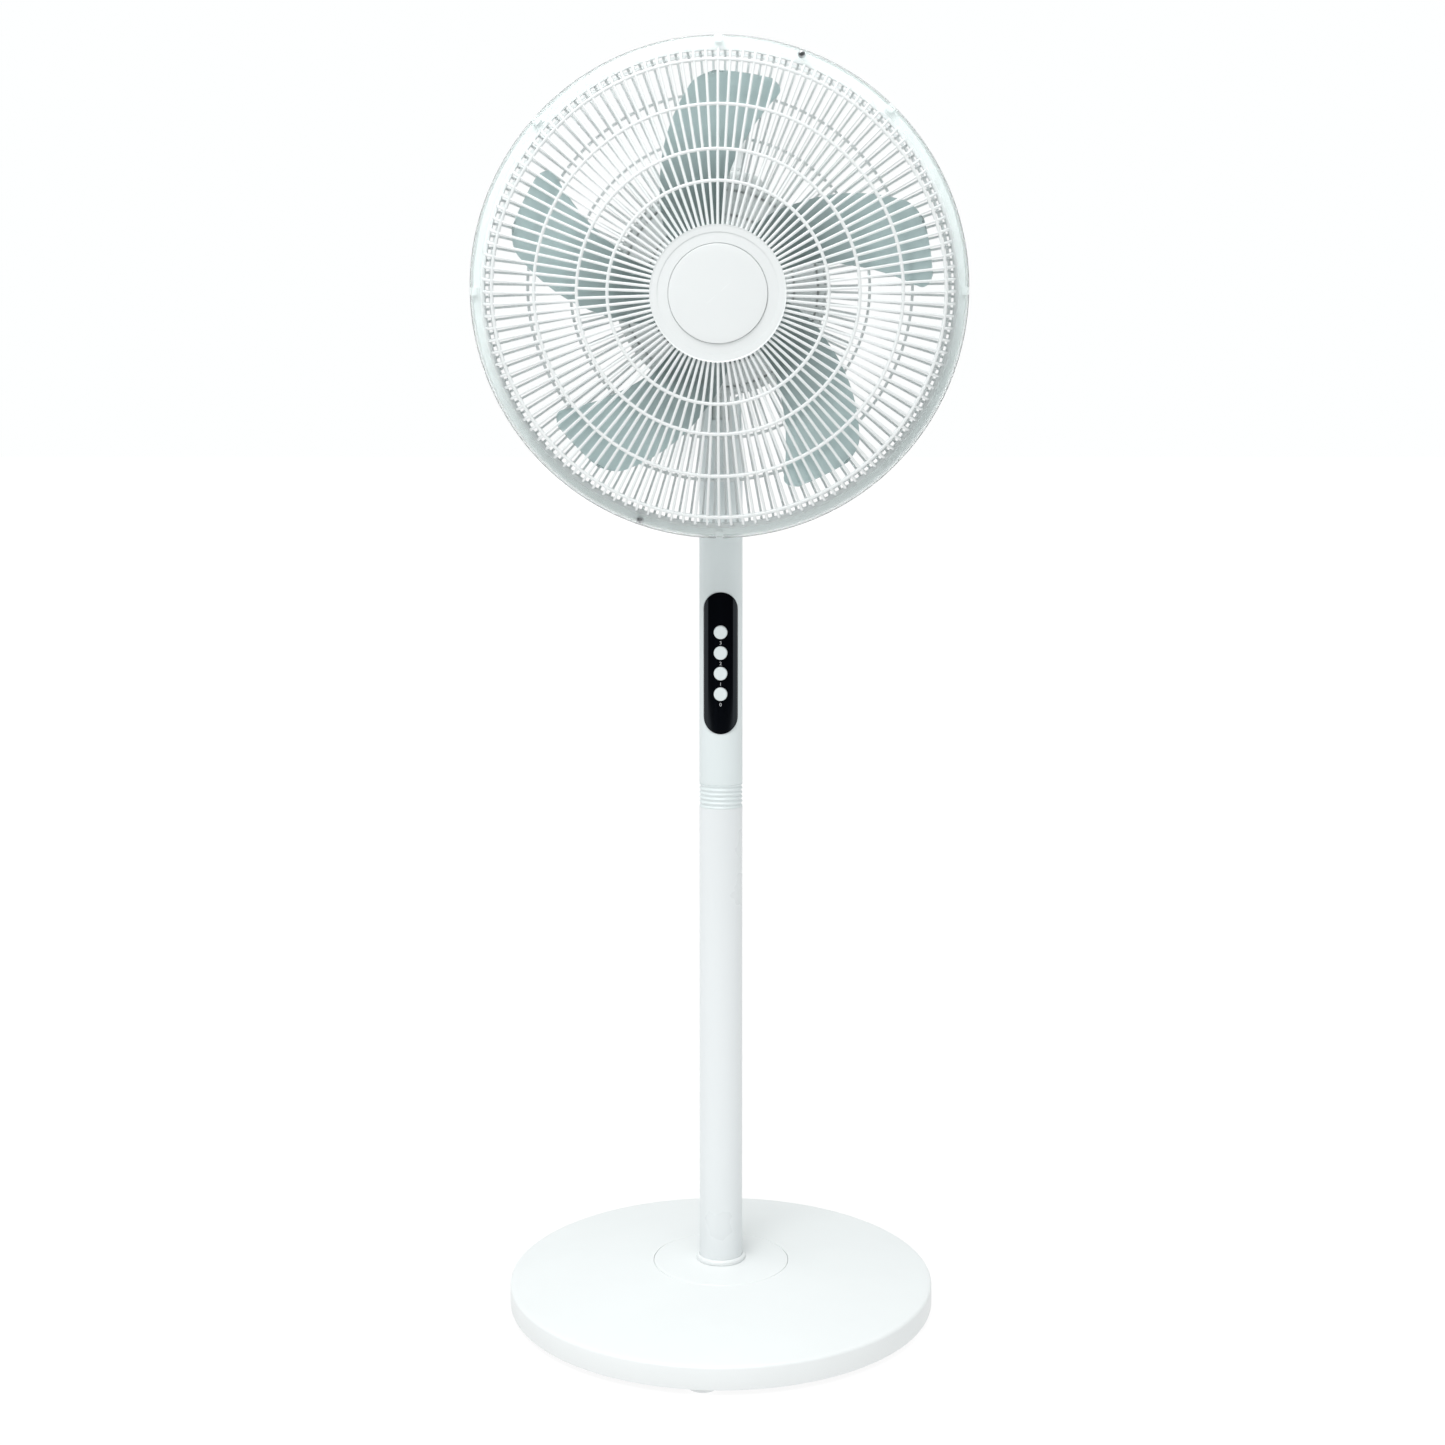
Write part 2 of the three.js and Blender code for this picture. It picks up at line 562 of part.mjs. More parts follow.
// One blade: a thin box whose length runs along the radius and whose width runs between the two
// edges. The trailing edge stands forward of the leading edge, more so near the hub.
function bladeSolid() {
  const acrossSteps = 3;
  const radialSteps = 5;
  const thickness = 2.4;
  const plank = new THREE.BoxGeometry(1, 1, 1, acrossSteps, 1, radialSteps);
  const position = plank.attributes.position;
  for (let i = 0; i < position.count; i += 1) {
    const across = position.getX(i) + 0.5;
    const r = HUB_R - 3 + (position.getZ(i) + 0.5) * (BLADE_TIP_R - HUB_R + 3);
    const start = trailingEdge(r);
    const angle = THREE.MathUtils.degToRad(start + across * (leadingEdge(r) - start));
    const rise = 34 - 12 * (r - HUB_R) / (BLADE_TIP_R - HUB_R);
    const camber = 5 * (1 - (2 * across - 1) ** 2);
    const y = rise * (across - 0.5) + camber + position.getY(i) * thickness;
    position.setXYZ(i, r * Math.sin(angle), y, r * Math.cos(angle));
  }
  return plank;
}

// ---------------------------------------------------------------- oscillation gears
function makeGearbox() {
  const shell = box([-26, 36, -30], [30, 72, 14]);
  const room = box([-23.5, 30, -27.5], [27.5, 69.5, 11.5]);
  const knobHole = rod(3.4, 0, 30, 12).translate(WORM_WHEEL_X, WORM_WHEEL_Y, 0);
  const crankHole = rod(4.2, -50, -20, 12).translate(CRANK_X, CRANK_Y, 0);
  piece(headGroup, 'gearbox_case', cut(shell, room, knobHole, crankHole), offWhite);

  const wheel = turned([[0, -21], [4, -21], [4, -3], [10.6, -3], [10.6, 3], [0, 3]], 20);
  piece(headGroup, 'worm_wheel', wheel, nylon).position.set(WORM_WHEEL_X, WORM_WHEEL_Y, 0);

  const crankGear = turned([
    [0, -38], [15, -38], [15, -34], [3.9, -34], [3.9, -19], [15.6, -19], [15.6, -13], [0, -13],
  ], 24);
  const pin = rod(2.5, -51.5, -36, 10).translate(...CRANK_PIN, 0);
  piece(headGroup, 'crank_gear', join(crankGear, pin), nylon).position.set(CRANK_X, CRANK_Y, 0);

  const skirt = HUMP_TOP_R + GAP;
  const knob = turned([
    [0, 5], [3, 5], [3, skirt], [KNOB_R - 1, skirt], [KNOB_R, skirt + 2], [KNOB_R, KNOB_TOP_Z - 1.5],
    [KNOB_R - 1.5, KNOB_TOP_Z], [0, KNOB_TOP_Z],
  ], 20);
  piece(headGroup, 'oscillation_knob', knob, white).position.set(WORM_WHEEL_X, WORM_WHEEL_Y, 0);
}

function makeSwivelBracket() {
  const boss = rod(9, -73.5, -46, 20);
  const saddle = box([-16, -12, -50], [16, 26, -STATOR_R - GAP]);
  const bracket = cut(join(boss, saddle), rod(SWIVEL_PIN_R + 0.1, -90, -51, 20));
  piece(headGroup, 'swivel_bracket', bracket, aluminium);
}

// ---------------------------------------------------------------- grilles and rim

// Round grille made of ring-shaped rows: each row is a flat annulus with one opening between each
// pair of slats, dished along its axis by depth(r), and the rows are joined where they meet.
function dishedGrille(edges, openings, slatWidth, thickness, depth) {
  const step = 2 * Math.PI / GRILLE_SLATS;
  const corner = (r, angle) => new THREE.Vector2(r * Math.cos(angle), r * Math.sin(angle));
  const polygon = (r, sides) => {
    const angles = Array.from({ length: sides }, (_, i) => i * 2 * Math.PI / sides);
    return angles.map((angle) => corner(r, angle));
  };
  const edgeSides = 2 * GRILLE_SLATS;
  const rows = edges.slice(1).map((edge, row) => {
    const isLast = row === edges.length - 2;
    const [low, high] = openings[row] ?? [0, 0];
    const disc = new THREE.Shape(polygon(edge, isLast ? edgeSides : GRILLE_SLATS));
    disc.holes.push(new THREE.Path(polygon(edges[row], row === 0 ? edgeSides : GRILLE_SLATS)));
    for (let i = 0; i < GRILLE_SLATS && high > 0; i += 1) {
      const middle = (i + 0.5) * step;
      const inner = step / 2 - slatWidth / 2 / low;
      const outer = step / 2 - slatWidth / 2 / high;
      disc.holes.push(new THREE.Path([
        corner(low, middle - inner), corner(high, middle - outer),
        corner(high, middle + outer), corner(low, middle + inner),
      ]));
    }
    const slab = new THREE.ExtrudeGeometry(disc, { depth: thickness, bevelEnabled: false });
    const position = slab.attributes.position;
    for (let i = 0; i < position.count; i += 1) {
      const r = Math.hypot(position.getX(i), position.getY(i));
      position.setXYZ(i, position.getX(i), depth(r) + position.getZ(i), position.getY(i));
    }
    return slab;
  });
  return join(...rows);
}

function makeCage() {
  const flangeR = RIM_R - 2.6;
  const edgeR = RIM_LIP_R - 0.8;
  const barDepth = 4;
  const barWidth = 3;
  const frontDepth = (r) => {
    return r > FRONT_RINGS[1] + 3 ? -4.5 : FRONT_FALL * r * r - FRONT_CROWN;
  };
  const rearDepth = (r) => {
    const dish = REAR_CROWN - REAR_FALL * Math.max(r, rearFlatR) ** 2 - barDepth;
    return r > REAR_RINGS[1] + 2.5 ? 0.6 : dish;
  };
  const bar = 3.4;
  const rowsBetween = (rings, innerR) => {
    const edges = [innerR, ...rings, edgeR, flangeR];
    const lows = [innerR + bar, ...rings.map((r) => r + bar / 2)];
    const highs = [...rings.map((r) => r - bar / 2), edgeR - 1];
    return [edges, lows.map((low, i) => [low, highs[i]])];
  };
  const frontRows = rowsBetween(FRONT_RINGS, GRILLE_CENTRE_R);
  const front = dishedGrille(...frontRows, barWidth, barDepth, frontDepth);
  piece(headGroup, 'front_grille', front, white).position.set(0, RIM_Y, 0);
  const rearRows = rowsBetween(REAR_RINGS, REAR_BORE_R);
  const rear = dishedGrille(...rearRows, barWidth, barDepth, rearDepth);
  piece(headGroup, 'rear_grille', rear, white).position.set(0, RIM_Y, 0);

  const half = RIM_HALF_DEPTH;
  const inside = half - RIM_WALL;
  const insideR = RIM_R - RIM_WALL;
  const rim = [
    [RIM_LIP_R, -half], [RIM_R, -half], [RIM_R, half], [RIM_LIP_R, half],
    [RIM_LIP_R, inside], [insideR, inside], [insideR, -inside], [RIM_LIP_R, -inside],
  ];
  piece(headGroup, 'rim_ring', alongY(turned(rim, 44)), clear).position.set(0, RIM_Y, 0);

  const screwCircle = (RIM_R + RIM_LIP_R) / 2;
  RIM_SCREW_ANGLES.forEach((clockwise, i) => {
    const angle = THREE.MathUtils.degToRad(clockwise);
    const screw = turned([[0, -2.2], [2.6, -2.2], [3.4, -1], [3.4, 0], [0, 0]], 12);
    const mesh = piece(headGroup, `rim_screw_${i + 1}`, alongY(screw), steel);
    const y = RIM_Y - half - GAP;
    mesh.position.set(screwCircle * Math.sin(angle), y, screwCircle * Math.cos(angle));
  });
}

function makeHubCap() {
  const front = (r) => RIM_Y - FRONT_CROWN - 1.2 + FRONT_FALL * r * r;
  const seat = front(0) + 3.4;
  const outerBack = RIM_Y - FRONT_CROWN + FRONT_FALL * GRILLE_CENTRE_R ** 2 - GAP;
  const cap = [
    [0, seat], [BADGE_R + GAP, seat], [BADGE_R + GAP, front(BADGE_R)], [HUB_CAP_R - 2, front(HUB_CAP_R) - 1.2],
    [HUB_CAP_R, outerBack - 1.4], [HUB_CAP_R, outerBack], [GRILLE_CENTRE_R - 2 * GAP, outerBack],
    [GRILLE_CENTRE_R - 2 * GAP, outerBack + 6], [GRILLE_CENTRE_R - 3, outerBack + 6],
    [GRILLE_CENTRE_R - 3, seat + 2.4], [0, seat + 2.4],
  ];
  piece(headGroup, 'hub_cap', alongY(turned(cap, 24)), white);
  const badge = [
    [0, front(0) - 0.6], [BADGE_R - 6, front(BADGE_R - 6) - 0.6], [BADGE_R, front(BADGE_R) + 0.1],
    [BADGE_R, seat - GAP], [0, seat - GAP],
  ];
  piece(headGroup, 'hub_badge', alongY(turned(badge, 24)), white);
}

makeBase();
makeLowerPole();
makeHeightCollar();
makeInnerTube();
makeControlHousing();
makeControls();
makeTiltBolt();
makeNeck();
makeMotorCasing();
makeMotor();
makeSwivelBracket();
makeRotor();
makeGearbox();
makeCage();
makeHubCap();

export default fan;
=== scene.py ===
import json
import math

import bmesh
import bpy
from mathutils import Matrix, Vector


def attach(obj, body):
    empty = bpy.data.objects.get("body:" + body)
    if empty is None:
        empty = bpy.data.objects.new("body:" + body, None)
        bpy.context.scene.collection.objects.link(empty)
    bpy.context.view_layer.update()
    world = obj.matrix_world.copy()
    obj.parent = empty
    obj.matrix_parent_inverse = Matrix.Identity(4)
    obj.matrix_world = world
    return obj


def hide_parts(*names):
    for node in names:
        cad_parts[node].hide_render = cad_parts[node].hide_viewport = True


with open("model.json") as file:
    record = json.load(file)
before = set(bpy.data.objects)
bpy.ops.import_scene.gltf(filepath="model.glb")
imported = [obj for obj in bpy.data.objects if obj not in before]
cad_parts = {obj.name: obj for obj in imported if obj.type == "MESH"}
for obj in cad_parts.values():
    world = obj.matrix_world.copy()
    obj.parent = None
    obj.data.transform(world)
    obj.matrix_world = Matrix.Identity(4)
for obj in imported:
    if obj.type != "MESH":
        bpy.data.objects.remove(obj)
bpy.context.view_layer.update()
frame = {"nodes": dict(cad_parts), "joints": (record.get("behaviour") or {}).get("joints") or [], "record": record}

# ------------------------------------------------------------------ places
# Pieces are drawn in millimetres in the frame that they belong to, and placed in metres.
MM = 0.001
joints = {joint["name"]: joint for joint in frame["joints"]}


def tilted_frame(origin):
    """Matrix from the head's tilted axes, in millimetres, to the row frame in metres."""
    along = Vector(joints["rotor_spin"]["axis"])
    up = Vector(joints["head_swivel"]["axis"])
    across = along.cross(up)
    axes = Matrix((across, along, up)).transposed().to_4x4()
    return Matrix.Translation(Vector(origin)) @ axes @ Matrix.Scale(MM, 4)


STAND = Matrix.Scale(MM, 4)
NECK = tilted_frame(joints["head_tilt"]["pos_m"])
HEAD = tilted_frame(joints["rotor_spin"]["pos_m"])
ALONG_Y = Matrix.Rotation(math.radians(-90), 4, "X")
ALONG_X = Matrix.Rotation(math.radians(90), 4, "Y")
UPRIGHT = Matrix.Identity(4)


def reach(node, place=STAND):
    """Lowest and highest corner of a CAD node, in millimetres of that frame."""
    inverse = place.inverted()
    points = [inverse @ vertex.co for vertex in frame["nodes"][node].data.vertices]
    low = [min(point[axis] for point in points) for axis in range(3)]
    high = [max(point[axis] for point in points) for axis in range(3)]
    return low, high


def middle_of(node, place=STAND):
    return [(low + high) / 2 for low, high in zip(*reach(node, place))]


# ------------------------------------------------------------------ mesh helpers
def span(start, end, steps):
    """Evenly spaced numbers from start to end, both included."""
    return [start + (end - start) * i / steps for i in range(steps + 1)]


def sweep(start_deg, end_deg, steps):
    """Evenly spaced angles, in radians."""
    return [math.radians(angle) for angle in span(start_deg, end_deg, steps)]


def rounded(corners, steps=6):
    """Closed outline from (u, v, fillet) corners, each fillet drawn as an arc."""
    outline = []
    for i, (u, v, fillet) in enumerate(corners):
        here = Vector((u, v))
        back = Vector(corners[i - 1][:2]) - here
        ahead = Vector(corners[(i + 1) % len(corners)][:2]) - here
        if fillet <= 0:
            outline.append((u, v))
            continue
        half = back.angle(ahead) / 2
        tangent = min(fillet / math.tan(half), back.length * 0.49, ahead.length * 0.49)
        radius = tangent * math.tan(half)
        centre = here + (back.normalized() + ahead.normalized()).normalized() * radius / math.sin(half)
        first = here + back.normalized() * tangent - centre
        last = here + ahead.normalized() * tangent - centre
        turn = first.angle_signed(last)
        for step in range(steps + 1):
            spoke = first.copy()
            spoke.rotate(Matrix.Rotation(-turn * step / steps, 2))
            outline.append(tuple(centre + spoke))
    return outline


def bridge(bm, a, b):
    """Faces between two loops of the same length, or between a loop and a single point."""
    count = max(len(a), len(b))
    for i in range(count):
        j = (i + 1) % count
        corners = [a[i % len(a)], a[j % len(a)], b[j % len(b)], b[i % len(b)]]
        kept = [v for k, v in enumerate(corners) if v not in corners[:k]]
        if len(kept) > 2:
            bm.faces.new(kept)


def lathe(bm, profile, segments=128, turn=UPRIGHT, shift=(0, 0, 0)):
    """Surface turned about Z from (radius, height) points; off the axis the profile closes on itself."""
    move = Matrix.Translation(shift) @ turn
    loops = []
    for radius, height in profile:
        count = 1 if radius < 1e-6 else segments
        angles = [2 * math.pi * i / segments for i in range(count)]
        points = [(radius * math.cos(a), radius * math.sin(a), height) for a in angles]
        loops.append([bm.verts.new(move @ Vector(point)) for point in points])
    open_profile = len(loops[0]) == 1 and len(loops[-1]) == 1
    for k in range(len(loops) - 1 if open_profile else len(loops)):
        bridge(bm, loops[k], loops[(k + 1) % len(loops)])


def stack(bm, loops):
    """Closed solid through loops of points, with a flat face on each end."""
    made = [[bm.verts.new(point) for point in loop] for loop in loops]
    for a, b in zip(made, made[1:]):
        bridge(bm, a, b)
    bm.faces.new(list(reversed(made[0])))
    bm.faces.new(made[-1])


def superellipse(width, depth, power, count=48, middle=(0, 0)):
    """Rounded rectangle outline: a high power is squarer."""
    points = []
    for i in range(count):
        a = 2 * math.pi * i / count
        c, s = math.cos(a), math.sin(a)
        x = width / 2 * math.copysign(abs(c) ** (2 / power), c)
        y = depth / 2 * math.copysign(abs(s) ** (2 / power), s)
        points.append((middle[0] + x, middle[1] + y))
    return points


def stadium(width, length, middle, count=24):
    """Outline in X and Z with half-round ends."""
    r = width / 2
    points = []
    for end, start in ((1, 0), (-1, math.pi)):
        for a in span(start, start + math.pi, count):
            points.append((r * math.cos(a), middle + end * (length / 2 - r) + r * math.sin(a)))
    return points


def block(low, high):
    """Plain box as its own bmesh, used to cut with."""
    bm = bmesh.new()
    floor = [(low[0], low[1]), (high[0], low[1]), (high[0], high[1]), (low[0], high[1])]
    stack(bm, [[(x, y, z) for x, y in floor] for z in (low[2], high[2])])
    return bm


def turned(profile, segments=64, turn=UPRIGHT, shift=(0, 0, 0)):
    """Turned solid as its own bmesh."""
    bm = bmesh.new()
    lathe(bm, profile, segments, turn, shift)
    return bm


def rod(radius, low, high):
    """Profile of a plain round bar."""
    return [(0, low), (radius, low), (radius, high), (0, high)]


def added(name, data):
    obj = bpy.data.objects.new(name, data)
    bpy.context.scene.collection.objects.link(obj)
    return obj


def solid_object(name, bm, place=UPRIGHT):
    """New object in the scene from a bmesh, which is used up."""
    bmesh.ops.recalc_face_normals(bm, faces=bm.faces)
    bm.transform(place)
    mesh = bpy.data.meshes.new(name)
    bm.to_mesh(mesh)
    bm.free()
    return added(name, mesh)


def combined(bm, tool, operation="DIFFERENCE"):
    """The solid cut by, joined with or limited to another one, as a new bmesh."""
    body, other = solid_object("temporary", bm), solid_object("temporary", tool)
    modifier = body.modifiers.new("combine", "BOOLEAN")
    modifier.operation = operation
    modifier.solver = "EXACT"
    modifier.object = other
    depsgraph = bpy.context.evaluated_depsgraph_get()
    result = bmesh.new()
    result.from_mesh(body.evaluated_get(depsgraph).to_mesh())
    for obj in (body, other):
        bpy.data.objects.remove(obj)
    return result


def piece(name, bm, place, body, nodes, slot, smooth_below=32):
    """Finished piece from a bmesh: placed, shaded, riding on its body and standing for its CAD nodes."""
    bmesh.ops.remove_doubles(bm, verts=bm.verts, dist=1e-4)
    obj = solid_object(name, bm, place)
    mesh = obj.data
    mesh.polygons.foreach_set("use_smooth", [True] * len(mesh.polygons))
    mesh.set_sharp_from_angle(angle=math.radians(smooth_below))
    mesh.materials.append(FINISHES[slot])
    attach(obj, body)
    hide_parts(*nodes)
    return obj


# ------------------------------------------------------------------ finishes
def noise(nodes, links, coords, size_mm, detail=3, stretch=(1, 1, 1)):
    """Noise whose blobs are about that many millimetres wide."""
    mapping = nodes.new("ShaderNodeMapping")
    mapping.inputs["Scale"].default_value = stretch
    links.new(coords.outputs["Object"], mapping.inputs["Vector"])
    texture = nodes.new("ShaderNodeTexNoise")
    texture.inputs["Scale"].default_value = 1 / (size_mm * MM)
    texture.inputs["Detail"].default_value = detail
    links.new(mapping.outputs["Vector"], texture.inputs["Vector"])
    return texture.outputs["Fac"]


def spread_between(nodes, links, source, low, high, limits=(0.3, 0.7)):
    """Value carried over from `limits` to the range from low to high."""
    ramp = nodes.new("ShaderNodeMapRange")
    ramp.inputs["From Min"].default_value = limits[0]
    ramp.inputs["From Max"].default_value = limits[1]
    ramp.inputs["To Min"].default_value = low
    ramp.inputs["To Max"].default_value = high
    links.new(source, ramp.inputs["Value"])
    return ramp.outputs["Result"]


def mixed(nodes, links, factor, first, second, kind="RGBA"):
    """Mix of two values, each a colour, a number or a socket."""
    mix = nodes.new("ShaderNodeMix")
    mix.data_type = kind
    links.new(factor, mix.inputs["Factor"])
    for socket, value in ((mix.inputs["A"], first), (mix.inputs["B"], second)):
        if isinstance(value, tuple):
            socket.default_value = (*value, 1)
        elif isinstance(value, float):
            socket.default_value = value
        else:
            links.new(value, socket)
    return mix.outputs["Result"]


RAISED = (0.52, 0.62)  # pointiness of edges
SUNK = (0.42, 0.485)  # pointiness of grooves, where the colour is darkened as painted shade
BUMP_STRENGTH = 0.6
GRAIN_SHARE = 0.35  # how far the fine grain takes the colour to its dark tone


def finish(name, colour, roughness, tone=0.03, patch_mm=60, grain_mm=0.5, grain_height=0.01,
           stretch=(1, 1, 1), edge=1.04, groove=0.94, metallic=0, **fixed):
    """Procedural finish: slow tone patches, fine grain in colour and relief, edges that are
    slightly lighter or darker where hands reach them, and painted shade that darkens the grooves.
    `fixed` are uniform shader values."""
    material = bpy.data.materials.new(name)
    material.use_nodes = True
    nodes, links = material.node_tree.nodes, material.node_tree.links
    shader = nodes["Principled BSDF"]
    coords = nodes.new("ShaderNodeTexCoord")
    patches = noise(nodes, links, coords, patch_mm, 4)
    grain = noise(nodes, links, coords, grain_mm, 3, stretch)
    dark = tuple(c * (1 - tone) for c in colour)
    light = tuple(min(1, c * (1 + tone)) for c in colour)
    patched = mixed(nodes, links, spread_between(nodes, links, patches, 0, 1), dark, light)
    grained = mixed(nodes, links, spread_between(nodes, links, grain, 0, GRAIN_SHARE), patched, dark)
    geometry = nodes.new("ShaderNodeNewGeometry")
    worn = spread_between(nodes, links, geometry.outputs["Pointiness"], 0, 1, RAISED)
    edge_colour = tuple(min(1, c * edge) for c in colour)
    with_edges = mixed(nodes, links, worn, grained, edge_colour)
    # Painted shade: the colour is darkened by `groove` in the grooves, where shade falls.
    groove_shading = spread_between(nodes, links, geometry.outputs["Pointiness"], 1, 0, SUNK)
    groove_shade_colour = tuple(c * groove for c in colour)
    links.new(mixed(nodes, links, groove_shading, with_edges, groove_shade_colour), shader.inputs["Base Color"])
    rough = spread_between(nodes, links, patches, roughness * 0.88, min(1, roughness * 1.12))
    links.new(rough, shader.inputs["Roughness"])
    bump = nodes.new("ShaderNodeBump")
    bump.inputs["Strength"].default_value = BUMP_STRENGTH
    bump.inputs["Distance"].default_value = grain_height * MM
    links.new(grain, bump.inputs["Height"])
    links.new(bump.outputs["Normal"], shader.inputs["Normal"])
    shader.inputs["Metallic"].default_value = metallic
    for socket, value in fixed.items():
        shader.inputs[socket.replace("_", " ")].default_value = value
    return material


FINISHES = {
    "white_plastic": finish("white_plastic", (0.86, 0.885, 0.885), 0.36, tone=0.012, grain_mm=0.7,
        grain_height=0.006),
    "white_enamel": finish("white_enamel", (0.80, 0.83, 0.84), 0.3, tone=0.008, grain_mm=1.6,
        grain_height=0.008),
    "column_plastic": finish("column_plastic", (0.775, 0.835, 0.84), 0.42, tone=0.012, grain_mm=0.7,
        grain_height=0.008),
    "pale_grey_plastic": finish("pale_grey_plastic", (0.75, 0.785, 0.78), 0.5, tone=0.02, grain_mm=0.35,
        grain_height=0.03),
    "clear_plastic": finish("clear_plastic", (0.93, 0.965, 0.96), 0.18, tone=0.006, grain_mm=2,
        grain_height=0.004, edge=0.97, Transmission_Weight=0.9, IOR=1.42, Specular_IOR_Level=0.2),
    "black_gloss": finish("black_gloss", (0.0008, 0.001, 0.0016), 0.08, tone=0.2, grain_mm=0.9,
        grain_height=0.0006, edge=3.0, Specular_IOR_Level=0.36, Specular_Tint=(0.78, 0.9, 1.0, 1)),
    "panel_print": finish("panel_print", (0.55, 0.56, 0.57), 0.5, tone=0.05),
    "blade_tint": finish("blade_tint", (0.60, 0.71, 0.71), 0.6, tone=0.03, grain_mm=0.8, grain_height=0.01,
        edge=0.9, Transmission_Weight=0.7, IOR=1.3),
    "rubber": finish("rubber", (0.035, 0.036, 0.037), 0.8, tone=0.15, grain_mm=0.4, grain_height=0.05),
    "pale_rubber": finish("pale_rubber", (0.74, 0.765, 0.765), 0.7, tone=0.04, grain_mm=0.4,
        grain_height=0.04),
    "zinc_steel": finish("zinc_steel", (0.55, 0.57, 0.58), 0.34, tone=0.08, patch_mm=4, grain_mm=0.25,
        grain_height=0.01, metallic=1),
    "chrome_tube": finish("chrome_tube", (0.66, 0.68, 0.70), 0.12, tone=0.04, grain_mm=0.3,
        grain_height=0.004, stretch=(1, 1, 0.05), metallic=1),
    "dark_steel": finish("dark_steel", (0.09, 0.095, 0.10), 0.5, tone=0.15, patch_mm=15, grain_mm=0.5,
        grain_height=0.03, edge=1.8, metallic=0.8),
    "cast_aluminium": finish("cast_aluminium", (0.56, 0.57, 0.58), 0.45, tone=0.08, patch_mm=8,
        grain_mm=0.6, grain_height=0.06, metallic=1),
    "copper_wire": finish("copper_wire", (0.52, 0.19, 0.07), 0.3, tone=0.2, patch_mm=3, grain_mm=0.4,
        grain_height=0.15, stretch=(0.1, 1, 0.1), metallic=0.9),
    "bearing_brass": finish("bearing_brass", (0.58, 0.41, 0.16), 0.4, tone=0.1, patch_mm=3, grain_mm=0.2,
        grain_height=0.02, metallic=1),
    "nylon": finish("nylon", (0.78, 0.74, 0.66), 0.5, tone=0.03, grain_mm=0.5, grain_height=0.01,
        Subsurface_Weight=0.1),
}


def paint_shade_near_axis(material, joint, colour, near_mm, far_mm):
    """Painted shade: colour darkened towards a joint's axis, fully at `near_mm` from it."""
    nodes, links = material.node_tree.nodes, material.node_tree.links
    base = nodes["Principled BSDF"].inputs["Base Color"]
    coords = nodes.new("ShaderNodeTexCoord")
    offset = nodes.new("ShaderNodeVectorMath")
    offset.operation = "SUBTRACT"
    offset.inputs[1].default_value = joint["pos_m"]
    links.new(coords.outputs["Object"], offset.inputs[0])
    across = nodes.new("ShaderNodeVectorMath")
    across.operation = "CROSS_PRODUCT"
    across.inputs[1].default_value = joint["axis"]
    links.new(offset.outputs["Vector"], across.inputs[0])
    distance = nodes.new("ShaderNodeVectorMath")
    distance.operation = "LENGTH"
    links.new(across.outputs["Vector"], distance.inputs[0])
    shade_share = spread_between(nodes, links, distance.outputs["Value"], 1, 0, (near_mm * MM, far_mm * MM))
    links.new(mixed(nodes, links, shade_share, base.links[0].from_socket, colour), base)


# Painted shade on the blades near the hub, where the motor behind them is dark.
paint_shade_near_axis(FINISHES["blade_tint"], joints["rotor_spin"], (0.34, 0.41, 0.41), 78, 145)

# ------------------------------------------------------------------ screws
DRIVE_WIDTH = 0.9  # width of a cross recess's arms
DRIVE_REACH = 0.6  # length of an arm, as a share of the head's radius
DRIVE_FLOOR = 0.35  # height of the recess's floor, as a share of the head's
HEAD_HEIGHT = 0.75  # height of a screw head, as a share of its radius
MAX_HEAD_HEIGHT = 2.2


def screw_head(radius, height):
    """Round screw head with a cross recess, standing on z = 0."""
    dome = [(0, 0), (radius, 0), (radius, height * 0.25), (radius * 0.92, height * 0.6),
            (radius * 0.7, height * 0.88), (radius * 0.35, height), (0, height)]
    head = turned(dome, 48)
    arm, half_width, floor = radius * DRIVE_REACH, DRIVE_WIDTH / 2, height * DRIVE_FLOOR
    for along, across in ((arm, half_width), (half_width, arm)):
        head = combined(head, block((-along, -across, floor), (along, across, height + 1)))
    return head


def cross_screw(name, node, place, body, towards, centre):
    """Cross-head screw in place of a CAD screw; `towards` turns +Z to where the head faces."""
    low, high = reach(node, place)
    radius = (high[0] - low[0]) / 2
    bm = screw_head(radius, min(radius * HEAD_HEIGHT, MAX_HEAD_HEIGHT))
    bm.transform(Matrix.Translation(centre) @ towards)
    return piece(name, bm, place, body, [node], "zinc_steel")


# ------------------------------------------------------------------ stand
POLE_R = reach("lower_pole")[1][0]
BASE_R = reach("base_cover")[1][0]
DISC_R = reach("base_centre_disc")[1][0]
BASE_EDGE_Z = 26.3  # height of the base's outer top edge
BASE_CROWN_Z = 43.0  # height that its crowned top would reach on the axis


def crown(r):
    """Height of the base's crowned top."""
    return BASE_CROWN_Z - (BASE_CROWN_Z - BASE_EDGE_Z) * (r / BASE_R) ** 2


